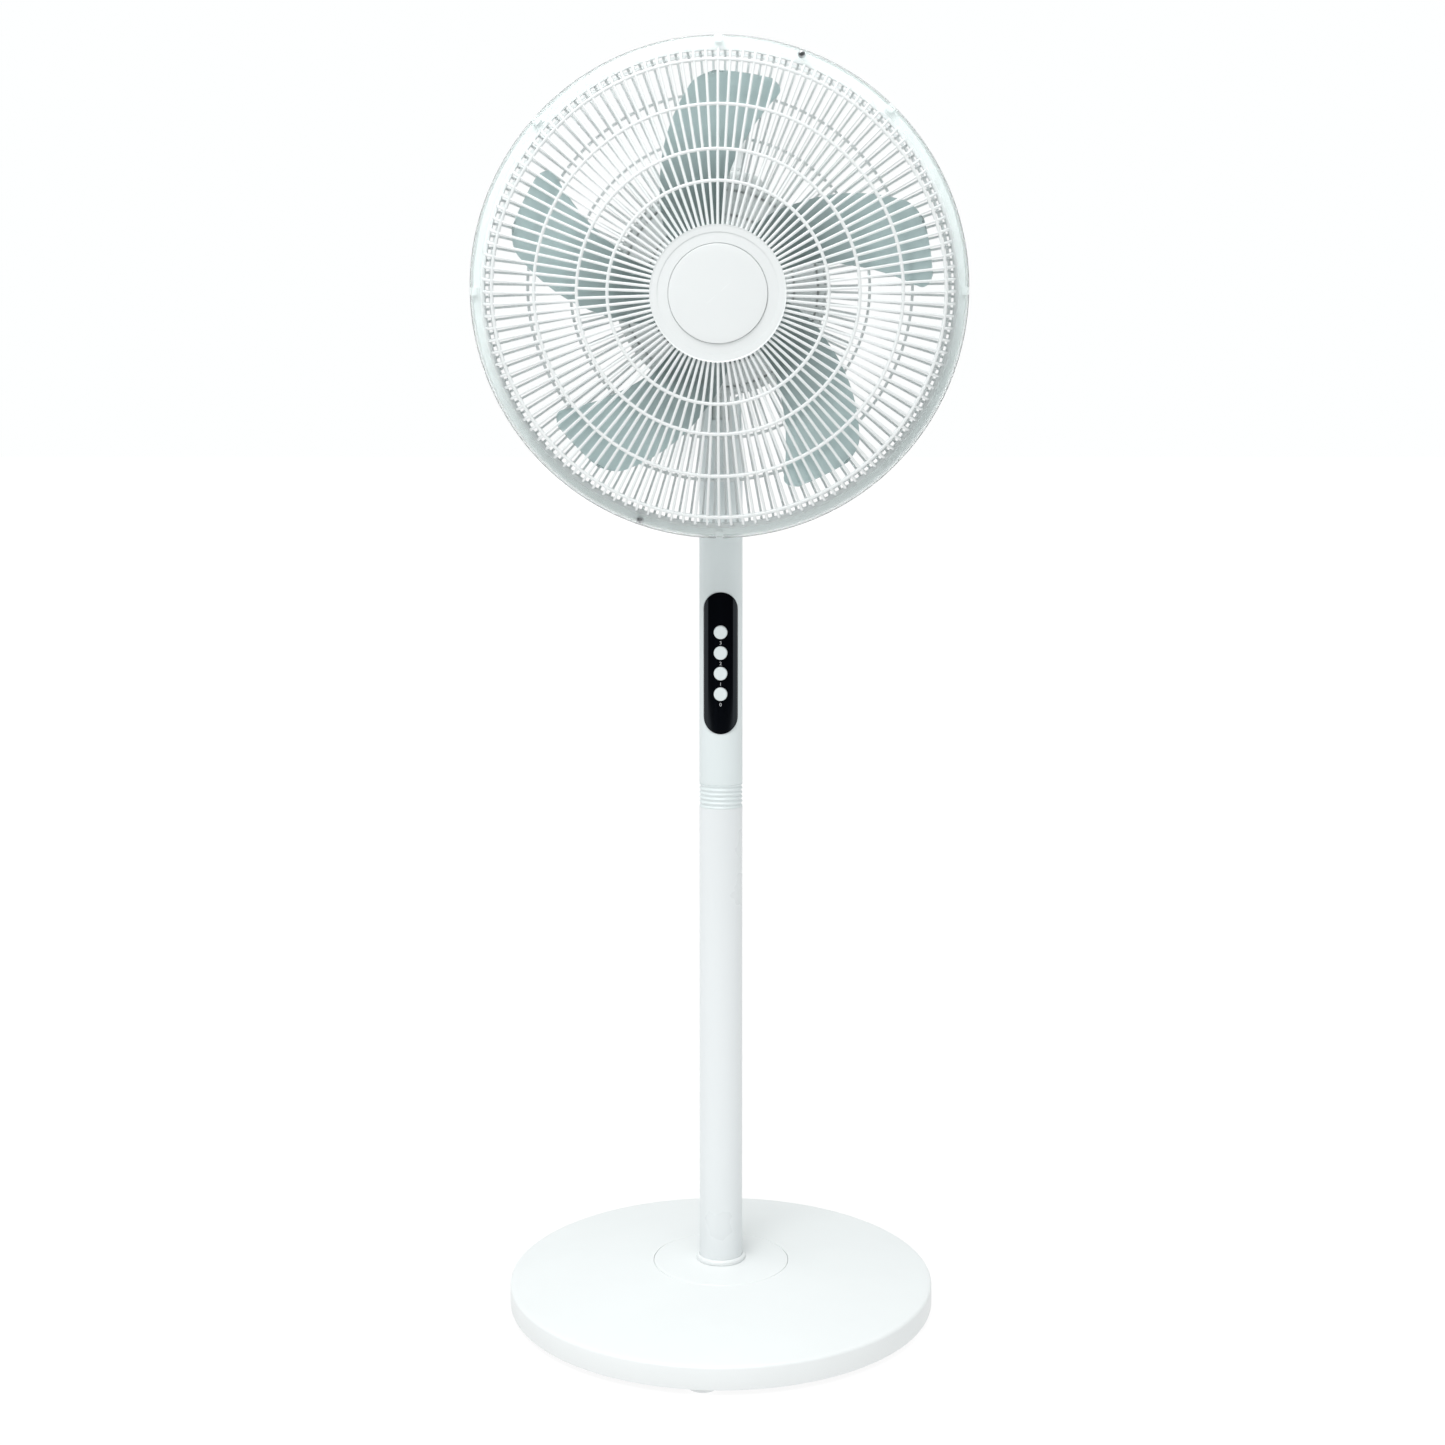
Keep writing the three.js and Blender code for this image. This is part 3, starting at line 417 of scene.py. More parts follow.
def make_base_cover():
    bottom = reach("base_cover")[0][2]
    wall = 2.5
    bend_r, bend_drop = 3.1, 2.9  # rounding from the top into the side
    bend_z = BASE_EDGE_Z - 2.6
    hole_r, chamfer = DISC_R + 0.3, 0.4  # recess for the centre disc
    top = [(r, crown(r)) for r in span(hole_r + chamfer, BASE_R - 3.3, 24)]
    edge = [(BASE_R - bend_r + bend_r * math.sin(a), bend_z + bend_drop * math.cos(a))
            for a in sweep(20, 90, 8)]
    skirt = [(BASE_R, bottom + 2), (BASE_R - 0.6, bottom + 0.5), (BASE_R - 1.4, bottom),
             (BASE_R - wall, bottom), (BASE_R - wall, BASE_EDGE_Z - wall - 1)]
    under = [(r, crown(r) - wall) for r in (BASE_R - 8, 150, 100, DISC_R + 3)]
    seat_z = crown(DISC_R) - 2.1
    bore = POLE_R + 0.4
    seat = [(DISC_R + 1, seat_z - 2.2), (bore, seat_z + 0.9), (bore, seat_z + 1.2),
            (hole_r, seat_z), (hole_r, crown(DISC_R) - 0.3)]
    bm = turned(top + edge + skirt + under + seat, 192)
    piece("base_cover_shell", bm, STAND, "stand", ["base_cover"], "white_plastic")


def make_base_disc():
    rim, bore = DISC_R - 0.05, POLE_R + 0.5
    thickness = 1.5
    raised = 0.15  # the disc stands this far above the cover
    disc = [(bore, crown(POLE_R))]
    disc += [(r, crown(r) + raised) for r in span(bore + 1.5, rim - 1, 10)]
    disc += [(rim - 0.4, crown(rim) + 0.05), (rim, crown(rim) - 0.4), (rim, crown(rim) - 1.6),
             (bore, crown(POLE_R) - thickness)]
    piece("base_disc", turned(disc, 160), STAND, "stand", ["base_centre_disc"], "white_plastic")


def make_pole_ring():
    low, high = reach("pole_foot_ring")
    r, bottom, top = high[0], low[2], high[2]
    bore = POLE_R + 0.25
    ring = rounded([(bore, bottom, 0), (r, bottom, 0.3), (r - 0.2, bottom + 2.6, 0.8), (r - 1.4, top, 0.8),
                    (bore, top, 0)])
    piece("pole_ring", turned(ring, 128), STAND, "stand", ["pole_foot_ring"], "white_plastic")


def make_weight_plate():
    """Steel plate with a shallow pressed channel in its underside."""
    low, high = reach("base_weight")
    r, bottom, top = high[0], low[2], high[2]
    bore = 6
    channel_start, channel_end, channel_z = 60, r - 10, bottom + 1.2
    slope = 4
    plate = rounded([(bore, bottom, 0), (channel_start, bottom, 1), (channel_start + slope, channel_z, 2),
                     (channel_end - slope, channel_z, 2), (channel_end, bottom, 1), (r, bottom, 1),
                     (r, top, 1), (bore, top, 0)])
    piece("weight_plate", turned(plate, 160), STAND, "stand", ["base_weight"], "dark_steel")


def make_feet():
    for number in range(1, 6):
        node = f"foot_{number}"
        low, high = reach(node)
        r = (high[0] - low[0]) / 2
        top = high[2]
        dimple_r, dimple_z = r * 0.55, 0.5
        pad = rounded([(0, dimple_z, 0), (dimple_r, dimple_z, 0.3), (r * 0.6, 0, 0.3), (r - 2.6, 0, 1.2),
                       (r, top * 0.7, 1.2), (r, top, 0.3), (0, top, 0)], 4)
        x, y, _ = middle_of(node)
        bm = turned(pad, 64, shift=(x, y, 0))
        piece(f"foot_pad_{number}", bm, STAND, "stand", [node], "pale_rubber")


def make_pole():
    low, high = reach("lower_pole")
    bottom, top = low[2], high[2] + 0.2
    bore = POLE_R - 1.5
    tube = rounded([(bore, bottom, 0), (POLE_R, bottom, 0), (POLE_R, top, 0.4), (bore, top, 0.3)])
    piece("pole_tube", turned(tube, 128), STAND, "stand", ["lower_pole"], "white_enamel")

    low, high = reach("inner_tube")
    r = high[0]
    bore = r - 1.4
    tube = rounded([(bore, low[2], 0.3), (r, low[2], 0.4), (r, high[2], 0.4), (bore, high[2], 0.3)])
    piece("sliding_tube", turned(tube, 128), STAND, "upper_column", ["inner_tube"], "chrome_tube")


def make_collar():
    low, high = reach("height_collar")
    bottom, top, peak = low[2], high[2] + 0.2, high[0]
    inside = POLE_R - 1.6
    ridges, groove, land, chamfer = 5, 1.2, 0.4, 0.25
    pitch = (top - bottom - 2 * land) / ridges
    face = peak - 0.15
    profile = [(inside, bottom), (face - chamfer, bottom), (face, bottom + chamfer), (face, bottom + land)]
    for ridge in range(ridges):
        z = bottom + land + ridge * pitch
        for t in span(0, 1, 12)[1:]:
            depth = groove * (1 - abs(2 * t - 1) ** 1.6) ** 1.3
            profile.append((peak - depth, z + t * pitch))
    profile += [(face, top - chamfer), (face - chamfer, top), (inside, top)]
    piece("collar_ring", turned(profile, 128), STAND, "collar", ["height_collar"], "column_plastic", 60)


# ------------------------------------------------------------------ control housing
PANEL_MID_Z = middle_of("control_panel")[2]
PIVOT_Z = joints["head_tilt"]["pos_m"][2] / MM
SLOT_HALF = 7.8  # half width of the slot that holds the neck


def neck_slot(far):
    """Slot through the column's top, with a round floor about the tilt pivot and a low sill."""
    sill, floor_r = 4, 17
    ends = math.asin(sill / floor_r)
    outline = [(far, far), (-far, far), (-far, -sill)]
    outline += [(floor_r * math.cos(a), floor_r * math.sin(a))
                for a in span(math.pi + ends, 2 * math.pi - ends, 32)]
    outline.append((far, -sill))
    slot = bmesh.new()
    stack(slot, [[(x, y, PIVOT_Z + z) for y, z in outline] for x in (-SLOT_HALF, SLOT_HALF)])
    return slot


def housing_blank():
    """Column wall with a rounded top round the tilt pivot, cheeks and the slot for the neck."""
    bottom = reach("control_housing_front")[0][2]
    inside = POLE_R - 2.2
    top = PIVOT_Z + POLE_R
    bolt_r, bolt_head_r, bolt_head_x = 4.3, 7.6, 15
    profile = [(inside, bottom, 0.3), (POLE_R, bottom, 0.5), (POLE_R, top, 0), (inside, top, 0)]
    wall = turned(rounded(profile), 160)
    cheeks = block((-inside - 1, -10, PIVOT_Z - 12), (inside + 1, 10, PIVOT_Z + 12))
    solid = combined(wall, cheeks, "UNION")
    far = POLE_R + 1
    dome = turned(rod(POLE_R, -far, far), 96, ALONG_X, (0, 0, PIVOT_Z))
    dome = combined(dome, block((-far, -far, bottom - 1), (far, far, PIVOT_Z)), "UNION")
    solid = combined(solid, dome, "INTERSECT")
    solid = combined(solid, neck_slot(far))
    for profile in (rod(bolt_r, -far, far), rod(bolt_head_r, bolt_head_x, far),
                    rod(bolt_head_r, -far, -bolt_head_x)):
        solid = combined(solid, turned(profile, 48, ALONG_X, (0, 0, PIVOT_Z)))
    return solid


def slab_xz(outline, front, back):
    """Plate with an outline in X and Z, between two values of Y."""
    bm = bmesh.new()
    stack(bm, [[(x, y, z) for x, z in outline] for y in (front, back)])
    return bm


def make_housing():
    far, panel_gap, inlet_r = 60, 0.5, 6
    seam = 0.12  # half of the gap between the two shells
    top = PIVOT_Z + 40
    panel_low, panel_high = reach("control_panel")
    width, length = panel_high[0] - panel_low[0], panel_high[2] - panel_low[2]
    blank = housing_blank()
    front = combined(blank.copy(), block((-far, -far, 0), (far, -seam, top)), "INTERSECT")
    front = combined(front, slab_xz(stadium(width + panel_gap, length + panel_gap, PANEL_MID_Z), -40, -5))
    piece("housing_front", front, STAND, "upper_column", ["control_housing_front"], "column_plastic")
    rear = combined(blank, block((-far, seam, 0), (far, far, top)), "INTERSECT")
    inlet_z = middle_of("cord_inlet")[2]
    rear = combined(rear, turned(rod(inlet_r, 5, 40), 48, ALONG_Y, (0, 0, inlet_z)))
    piece("housing_rear", rear, STAND, "upper_column", ["control_housing_rear"], "column_plastic")

    for number in (1, 2):
        node = f"housing_screw_{number}"
        centre = (0, reach(node)[1][1] - 2, middle_of(node)[2])
        cross_screw(f"housing_cross_screw_{number}", node, STAND, "upper_column", ALONG_Y, centre)

    bore, neck, flange = 3.2, 5.5, 7.6
    lips = [(bore, -7), (neck, -7), (neck, -0.2), (flange - 0.2, -0.2), (flange, 0.4), (7.2, 1.4), (6.4, 2),
            (5.6, 2.2), (5.2, 2.8), (4.2, 3), (3.4, 2.6), (bore, 1.6)]
    face_y = reach("cord_inlet")[1][1] - 3
    bm = turned(lips, 64, ALONG_Y, (0, face_y, inlet_z))
    piece("cord_inlet_bush", bm, STAND, "upper_column", ["cord_inlet"], "rubber")


def make_panel():
    """Black panel: a gently crowned face with a steeper band along each long side, cut to round ends."""
    low, high = reach("control_panel")
    half, length = (high[0] - low[0]) / 2, high[2] - low[2]
    front, back = low[1], high[1]
    crown_r = 30  # roundness of the face across its width
    face_half = half - 4.2
    hole_gap = 0.3

    def drop(x):
        return crown_r - math.sqrt(crown_r ** 2 - x ** 2)

    face = [(x, front + drop(x)) for x in span(0, face_half, 10)]
    band = [(face_half + 1.3, 0.92), (face_half + 2.6, 1.98), (face_half + 3.6, 2.92), (half, 4.1)]
    right = face + [(x, front + drop(face_half) + fall) for x, fall in band] + [(half, back)]
    section = [(-x, y) for x, y in reversed(right)] + right[1:]
    bar = bmesh.new()
    stack(bar, [[(x, y, z) for x, y in section] for z in (low[2] - 1, high[2] + 1)])
    bm = combined(bar, slab_xz(stadium(2 * half, length, PANEL_MID_Z), front - 1, back + 1), "INTERSECT")
    button_low, button_high = reach(BUTTON_NODES[0])
    hole_r = (button_high[0] - button_low[0]) / 2 + hole_gap
    for node in BUTTON_NODES:
        bm = combined(bm, turned(rod(hole_r, -40, 0), 48, ALONG_Y, (0, 0, button_z(node))))
    piece("panel_face", bm, STAND, "upper_column", ["control_panel"], "black_gloss", 12)


BUTTON_NODES = ["button_3", "button_2", "button_1", "button_0"]


def button_z(node):
    return middle_of(node)[2]


def make_buttons():
    bend_r = 1.2  # rounded edge of the face
    skirt_y, stem_r, stem_y = 7, 2.5, 14
    bodies = ["speed_3_button", "speed_2_button", "speed_1_button", "off_button"]
    for node, body in zip(BUTTON_NODES, bodies):
        low, high = reach(node)
        r = (high[0] - low[0]) / 2
        profile = [(0, 0.25), (r * 0.5, 0.18), (r - 1.6, 0.0)]
        profile += [(r - bend_r + bend_r * math.sin(a), bend_r - bend_r * math.cos(a))
                    for a in sweep(15, 90, 7)]
        profile += [(r, skirt_y), (stem_r, skirt_y), (stem_r, stem_y), (0, stem_y)]
        bm = turned(profile, 64, ALONG_Y, (0, low[1], button_z(node)))
        piece(f"push_{node}", bm, STAND, body, [node], "column_plastic")


def make_numerals():
    """Thin printed numerals, one below each button."""
    size, ink = 4.6, 0.08
    drop = 10.0  # from the middle of a button to the middle of its numeral
    upright = Matrix.Rotation(math.pi / 2, 4, "X")
    face = reach("control_panel")[0][1]
    bm = bmesh.new()
    for node in BUTTON_NODES:
        text = bpy.data.curves.new("numeral", "FONT")
        text.body = node[-1]
        text.align_x = "CENTER"
        text.align_y = "CENTER"
        text.size = size
        text.extrude = ink
        obj = added("numeral", text)
        depsgraph = bpy.context.evaluated_depsgraph_get()
        mesh = bpy.data.meshes.new_from_object(obj.evaluated_get(depsgraph))
        mesh.transform(Matrix.Translation((0, face, button_z(node) - drop)) @ upright)
        bm.from_mesh(mesh)
        bpy.data.objects.remove(obj)
    print_layer = piece("panel_numerals", bm, STAND, "upper_column", [], "white_plastic")
    print_layer.data.materials[0] = FINISHES["panel_print"]


# ------------------------------------------------------------------ tilt joint and neck
def make_neck():
    """Tongue with an eye about the tilt pivot, a stem that widens into a flange, and the swivel boss."""
    tongue, eye_r = 7.5, 16.4
    bolt_r, pin_r = 4.3, 6.3
    boss_r, boss_top = 15.5, 44
    eye = rounded([(0, -tongue, 0), (eye_r, -tongue, 0.6), (eye_r, tongue, 0.6), (0, tongue, 0)])
    # height, width, depth and squareness of the stem's sections
    stem = [(0, 15, 22, 6), (14, 15, 22, 6), (17.5, 15.6, 22.6, 5), (21, 24, 26, 3), (24.0, 36.5, 36.5, 2.2),
            (24.9, 38, 38, 2), (25.4, 37.4, 37.4, 2)]
    bm = bmesh.new()
    stack(bm, [[(x, y, z) for x, y in superellipse(width, depth, power, 72)]
               for z, width, depth, power in stem])
    solid = combined(turned(eye, 96, ALONG_X), bm, "UNION")
    boss = rounded([(0, 24, 0), (boss_r, 24, 0), (boss_r, boss_top, 1.2), (0, boss_top, 0)])
    solid = combined(solid, turned(boss, 96), "UNION")
    solid = combined(solid, turned(rod(bolt_r, -20, 20), 48, ALONG_X))
    solid = combined(solid, turned(rod(pin_r, 36, 60), 48))
    anchor = NECK.inverted() @ Vector(joints["link_swing"]["pos_m"])
    arm_depth, stud_r, stud_top = 8, 2.2, 66.5
    arm = bmesh.new()
    plan = superellipse(anchor.x + 4, arm_depth, 4, 32, (anchor.x / 2 + 2, anchor.y))
    stack(arm, [[(x, y, z) for x, y in plan] for z in (boss_top - 4, boss_top)])
    solid = combined(solid, arm, "UNION")
    stud = turned(rod(stud_r, boss_top - 2, stud_top), 32, shift=(anchor.x, anchor.y, 0))
    solid = combined(solid, stud, "UNION")
    piece("neck_stem", solid, NECK, "neck", ["neck_bracket"], "pale_grey_plastic", 40)


def make_tilt_bolt():
    low, high = reach("tilt_bolt")
    head_r, head_height, shank_r = 7, 3.6, 4
    bm = screw_head(head_r, head_height)
    bm.transform(Matrix.Translation((high[0] - 4, 0, PIVOT_Z)) @ ALONG_X)
    lathe(bm, rod(shank_r, low[0], high[0] - 3.5), 48, ALONG_X, (0, 0, PIVOT_Z))
    piece("tilt_screw", bm, STAND, "upper_column", ["tilt_bolt"], "zinc_steel")


# ------------------------------------------------------------------ motor casing
VENT_SLOTS = 28
VENT_R = 60  # middle of the vent slots, from the axis
VENT_HALF = 9  # half of their straight length
VENT_END_R = 2
HUMP_MIDDLE = (3.6, 34.0)
HUMP_SIZE = (70.0, 50.0)
HUMP_TOP_R = reach("motor_rear_cover", HEAD)[1][2]  # the hump's top follows a circle about the axis
KNOB_LOW, KNOB_HIGH = reach("oscillation_knob", HEAD)
KNOB_X, KNOB_Y, _ = middle_of("oscillation_knob", HEAD)


def bars(bm, turns_deg, section, start, end):
    """Bars along Y with a section in X and Z, one for each turn about the head's axis."""
    for turn_deg in turns_deg:
        turn = Matrix.Rotation(math.radians(turn_deg), 4, "Y")
        stack(bm, [[turn @ Vector((x, y, z)) for x, z in section] for y in (start, end)])


def evenly(count, offset=0):
    return [360 * (i + offset) / count for i in range(count)]


def vents():
    """Cutter for the ring of slots in the cover's back."""
    outline = [(VENT_END_R * math.cos(a),
                VENT_R + (VENT_HALF if math.sin(a) > 0 else -VENT_HALF) + VENT_END_R * math.sin(a))
               for a in [math.pi * k / 8 for k in range(16)]]
    cutter = bmesh.new()
    bars(cutter, evenly(VENT_SLOTS, 0.5), outline, 45, 100)
    return cutter


def hump():
    """Block on the casing's top that carries the swing knob."""
    base_z = 40
    # share of the height, and how far the outline has drawn in there
    layers = [(0, 0), (0.55, 0), (0.9, 0), (0.95, 0.5), (0.98, 1.6), (0.995, 3.2), (1.0, 5.5)]
    loops = []
    for rise, inset in layers:
        outline = superellipse(HUMP_SIZE[0] - 2 * inset, HUMP_SIZE[1] - 2 * inset, 7, 96, HUMP_MIDDLE)
        loops.append([(x, y, base_z + rise * (math.sqrt(HUMP_TOP_R ** 2 - x ** 2) - base_z))
                      for x, y in outline])
    bm = bmesh.new()
    stack(bm, loops)
    return bm


def make_motor_cover():
    low, high = reach("motor_rear_cover", HEAD)
    front, back = low[1], high[1]
    r = -low[0]
    wall = 2.5
    nut_bore, knob_bore = 19.4, 3.4
    outer = [(r, front, 0.8), (r, front + 32, 40), (r - 8, 50, 30), (r - 22, 69, 22), (r - 45, 81, 30),
             (0, back, 0)]
    inner = [(0, back - wall, 0), (r - 47, 78.5, 28), (r - 24, 66, 20), (r - 10.5, 48, 28),
             (r - wall, front + 31, 38), (r - wall, front, 0.4)]
    bm = turned(rounded(outer + inner, 8), 160, ALONG_Y)
    bm = combined(bm, vents())
    bm = combined(bm, turned(rod(nut_bore, -120, -40), 64))
    bm = combined(bm, hump(), "UNION")
    bm = combined(bm, turned(rod(knob_bore, 60, 140), 32, shift=(KNOB_X, KNOB_Y, 0)))
    piece("motor_cover", bm, HEAD, "head", ["motor_rear_cover"], "pale_grey_plastic", 35)


def make_motor_plate():
    low, high = reach("motor_front_plate", HEAD)
    r, front, back = high[0], low[1], high[1]
    bore, thread_r, wall = 9, 38, 8
    step = front + 12
    inner = step + 3
    plate = rounded([(bore, front, 0.5), (thread_r, front, 1), (thread_r, step, 0.5), (r, step, 1.2),
                     (r, back, 0.8), (r - wall, back, 0.5), (r - wall, inner, 0.5), (bore, inner, 0)], 5)
    bm = turned(plate, 160, ALONG_Y)
    piece("motor_plate", bm, HEAD, "head", ["motor_front_plate"], "pale_grey_plastic")


def make_lock_nut():
    low, high = reach("grille_lock_nut", HEAD)
    r, front, back = high[0], low[1], high[1]
    bore = 38.4
    bm = turned(rounded([(bore, front, 0.6), (r - 4, front, 1.2), (r - 6, back - 2.5, 2), (r, back - 1, 0.6),
                         (r, back, 0.4), (bore, back, 0)], 5), 128, ALONG_Y)
    grip = [(-1.2, r - 5.4), (1.2, r - 5.4), (0.8, r - 2.6), (-0.8, r - 2.6)]
    bars(bm, evenly(24), grip, front + 0.6, back - 0.2)
    piece("lock_nut", bm, HEAD, "head", ["grille_lock_nut"], "pale_grey_plastic")


def make_cover_screw():
    back = reach("cover_screw", HEAD)[1][1]
    cross_screw("cover_cross_screw", "cover_screw", HEAD, "head", ALONG_Y, (0, back - 2, 0))


def make_swing_knob():
    """Waisted knob with fine ribs, on a stem that goes into the casing."""
    top, skirt = KNOB_HIGH[2], HUMP_TOP_R + 0.4
    r = (KNOB_HIGH[0] - KNOB_LOW[0]) / 2
    stem_r, stem_z = 3, 5
    waist = (r - 2, skirt + (top - skirt) * 0.5, 8)
    profile = rounded([(0, stem_z, 0), (stem_r, stem_z, 0), (stem_r, skirt, 0), (r - 1.5, skirt, 0.3),
                       (r - 0.8, skirt + 2, 1), waist, (r, top - 5, 2), (r, top, 1.6), (0, top, 0)], 6)
    bm = turned(profile, 64, shift=(KNOB_X, KNOB_Y, 0))
    ribs, rib_circle = 16, r - 0.5
    for i in range(ribs):
        a = 2 * math.pi * i / ribs
        centre = Vector((KNOB_X + rib_circle * math.cos(a), KNOB_Y + rib_circle * math.sin(a), 0))
        lathe(bm, [(0, top - 6), (0.4, top - 5.6), (0.5, top - 2.2), (0, top - 1.8)], 10, UPRIGHT, centre)
    piece("swing_knob_cap", bm, HEAD, "swing_knob", ["oscillation_knob"], "white_plastic")


# ------------------------------------------------------------------ cage
RIM_Y = -80.0  # middle of the rim; the two grilles bulge to the front and to the back of it
FRONT_CROWN, FRONT_FALL = 61.5, 7.8e-4
REAR_CROWN, REAR_FALL = 54.0, 5.6e-4
FRONTWARDS, REARWARDS = -1, 1
SLATS_OUTSIDE = 120
SLATS_INSIDE = 90
FRONT_RINGS = (95.3, 122.0, 159.8, 197.7)
REAR_RINGS = (135.2, 173.2)
CHANGE_R = 122.0  # ring where the slat count changes
FLANGE_R = 217.2
FLANGE_THICK = 4
LUG_ANGLES = (0, 43.5, 90, 180, 270, 313)


def front_y(r):
    return RIM_Y - FRONT_CROWN + FRONT_FALL * r * r


def rear_y(r):
    return RIM_Y + REAR_CROWN - REAR_FALL * r * r


def slat_section(width, depth):
    """Rib section as (sideways, outwards) points: round nose outwards, slightly narrower root."""
    half = width / 2
    nose = [(half * math.cos(a), -half + half * math.sin(a)) for a in sweep(0, 180, 6)]
    return nose + [(-half * 0.8, -depth), (half * 0.8, -depth)]


def slats(bm, path, count, section, outwards, offset=0.0):
    """Copies of one rib round the axis. The path is in radius and Y; outwards is the side, in Y, that
    the rib's nose faces."""
    rows = []
    for i, (r, y) in enumerate(path):
        r0, y0 = path[max(0, i - 1)]
        r1, y1 = path[min(len(path) - 1, i + 1)]
        along = Vector((r1 - r0, y1 - y0)).normalized()
        normal = Vector((along.y, -along.x))
        if normal.y * outwards < 0:
            normal = -normal
        if abs(along.x) < 0.35:
            normal = Vector((abs(along.y), -along.x * math.copysign(1, along.y)))
        rows.append([(side, r + normal.x * out, y + normal.y * out) for side, out in section])
    for k in range(count):
        a = 2 * math.pi * (k + offset) / count
        s, c = math.sin(a), math.cos(a)
        stack(bm, [[(r * s + side * c, y, r * c - side * s) for side, r, y in row] for row in rows])


def hoop(bm, radius, y_nose, width, depth, outwards, segments=240):
    """Ring of the grille with a round nose on the outer side."""
    half = width / 2
    nose = [(radius + half * math.cos(a), y_nose + outwards * (-half + half * math.sin(a)))
            for a in sweep(0, 180, 8)]
    root_half, root_y = half * 0.85, y_nose - outwards * depth
    root = [(radius - root_half, root_y), (radius + root_half, root_y)]
    lathe(bm, nose + root, segments, ALONG_Y)


def shoulder(r0, y0, r1, y1):
    """Quarter-round path from the dish into the wall that runs to the rim."""
    return [(r0 + (r1 - r0) * math.sin(a), y1 + (y0 - y1) * math.cos(a)) for a in sweep(12, 90, 9)]


def dish(depth, start, end, steps):
    """Path along a grille's bulge; depth is front_y or rear_y."""
    return [(r, depth(r)) for r in span(start, end, steps)]


def flange(lip, start, corners):
    """Flat ring, held by the rim, from the radius `lip` outwards. It begins at Y = `start`."""
    end = start + FLANGE_THICK
    places = [(lip, start), (FLANGE_R, start), (FLANGE_R, end), (lip, end)]
    return rounded([(r, y, corner) for (r, y), corner in zip(places, corners)], 3)


def make_front_grille():
    bm = bmesh.new()
    wall_r, flange_y = 208.6, RIM_Y - 4.5
    centre_r = 55.5  # ring round the hub cap
    bend_r = FRONT_RINGS[-1] + 1
    section = slat_section(2.5, 5.0)
    outside = dish(front_y, CHANGE_R, FRONT_RINGS[-1], 12)
    outside += shoulder(bend_r, front_y(bend_r), wall_r, flange_y + 1)
    slats(bm, outside, SLATS_OUTSIDE, section, FRONTWARDS)
    slats(bm, dish(front_y, centre_r - 1, CHANGE_R, 10), SLATS_INSIDE, section, FRONTWARDS)
    for r in FRONT_RINGS:
        hoop(bm, r, front_y(r) - 0.35, 3.0, 4.2, FRONTWARDS)
    hoop(bm, centre_r, front_y(centre_r) - 0.1, 4.5, 5.0, FRONTWARDS)
    lathe(bm, flange(wall_r - 1.6, flange_y, (0.5, 0.6, 0.4, 0.4)), 240, ALONG_Y)
    lug = superellipse(7, 5.4, 6, 24, (0, FLANGE_R - 0.9))
    bars(bm, LUG_ANGLES, lug, flange_y - 3.2, flange_y + 1)
    piece("front_guard", bm, HEAD, "head", ["front_grille"], "white_plastic")


def pierced_disc(bm, radii, pierced, count, open_share, y0, y1):
    """Flat disc in polar cells; the rows named in `pierced` have `count` slots each."""
    parts = 4
    columns = count * parts

    def solid(row, column):
        return 0 <= row < len(radii) - 1 and not (row in pierced and column % parts < parts * open_share)

    vertex = {}

    def corner(row, column, side):
        key = (row, column % columns, side)
        if key not in vertex:
            a = 2 * math.pi * key[1] / columns
            y = y1 if side else y0
            vertex[key] = bm.verts.new((radii[row] * math.sin(a), y, radii[row] * math.cos(a)))
        return vertex[key]

    for row in range(len(radii) - 1):
        for column in range(columns):
            if not solid(row, column):
                continue
            ring = [(row, column), (row + 1, column), (row + 1, column + 1), (row, column + 1)]
            for side in (0, 1):
                bm.faces.new([corner(i, j, side) for i, j in ring])
            neighbours = ((row, column - 1), (row + 1, column), (row, column + 1), (row - 1, column))
            for k, (other_row, other_column) in enumerate(neighbours):
                if not solid(other_row, other_column % columns):
                    (i, j), (m, n) = ring[k], ring[(k + 1) % 4]
                    bm.faces.new([corner(i, j, 0), corner(m, n, 0), corner(m, n, 1), corner(i, j, 1)])


def make_rear_grille():
    bm = bmesh.new()
    disc_r = 94  # the flat middle, held by the lock nut
    back = rear_y(disc_r)
    radii = [38.7, 52, 66.0, 67.8, 78, 87.7, 89.5, disc_r]
    slotted_rows = (2, 5)
    pierced_disc(bm, radii, slotted_rows, 60, 0.75, back - 3.6, back - 0.3)
    wall_r, flange_y = 209.2, RIM_Y + 0.6
    bend_r = 204.5
    path = dish(rear_y, disc_r - 2, bend_r - 1, 14) + shoulder(bend_r, rear_y(bend_r), wall_r, flange_y + 2)
    slats(bm, path, SLATS_OUTSIDE, slat_section(2.3, 4.6), REARWARDS, 0.5)
    for r in REAR_RINGS:
        hoop(bm, r, rear_y(r) + 0.3, 2.6, 4.0, REARWARDS)
    hoop(bm, disc_r - 1.5, back - 0.2, 3.4, 4.0, REARWARDS)
    hoop(bm, 206.2, rear_y(207.4) + 0.3, 3.0, 4.4, REARWARDS)
    lathe(bm, flange(wall_r - 1.8, flange_y, (0.4, 0.4, 0.6, 0.5)), 240, ALONG_Y)
    piece("rear_guard", bm, HEAD, "head", ["rear_grille"], "white_plastic")


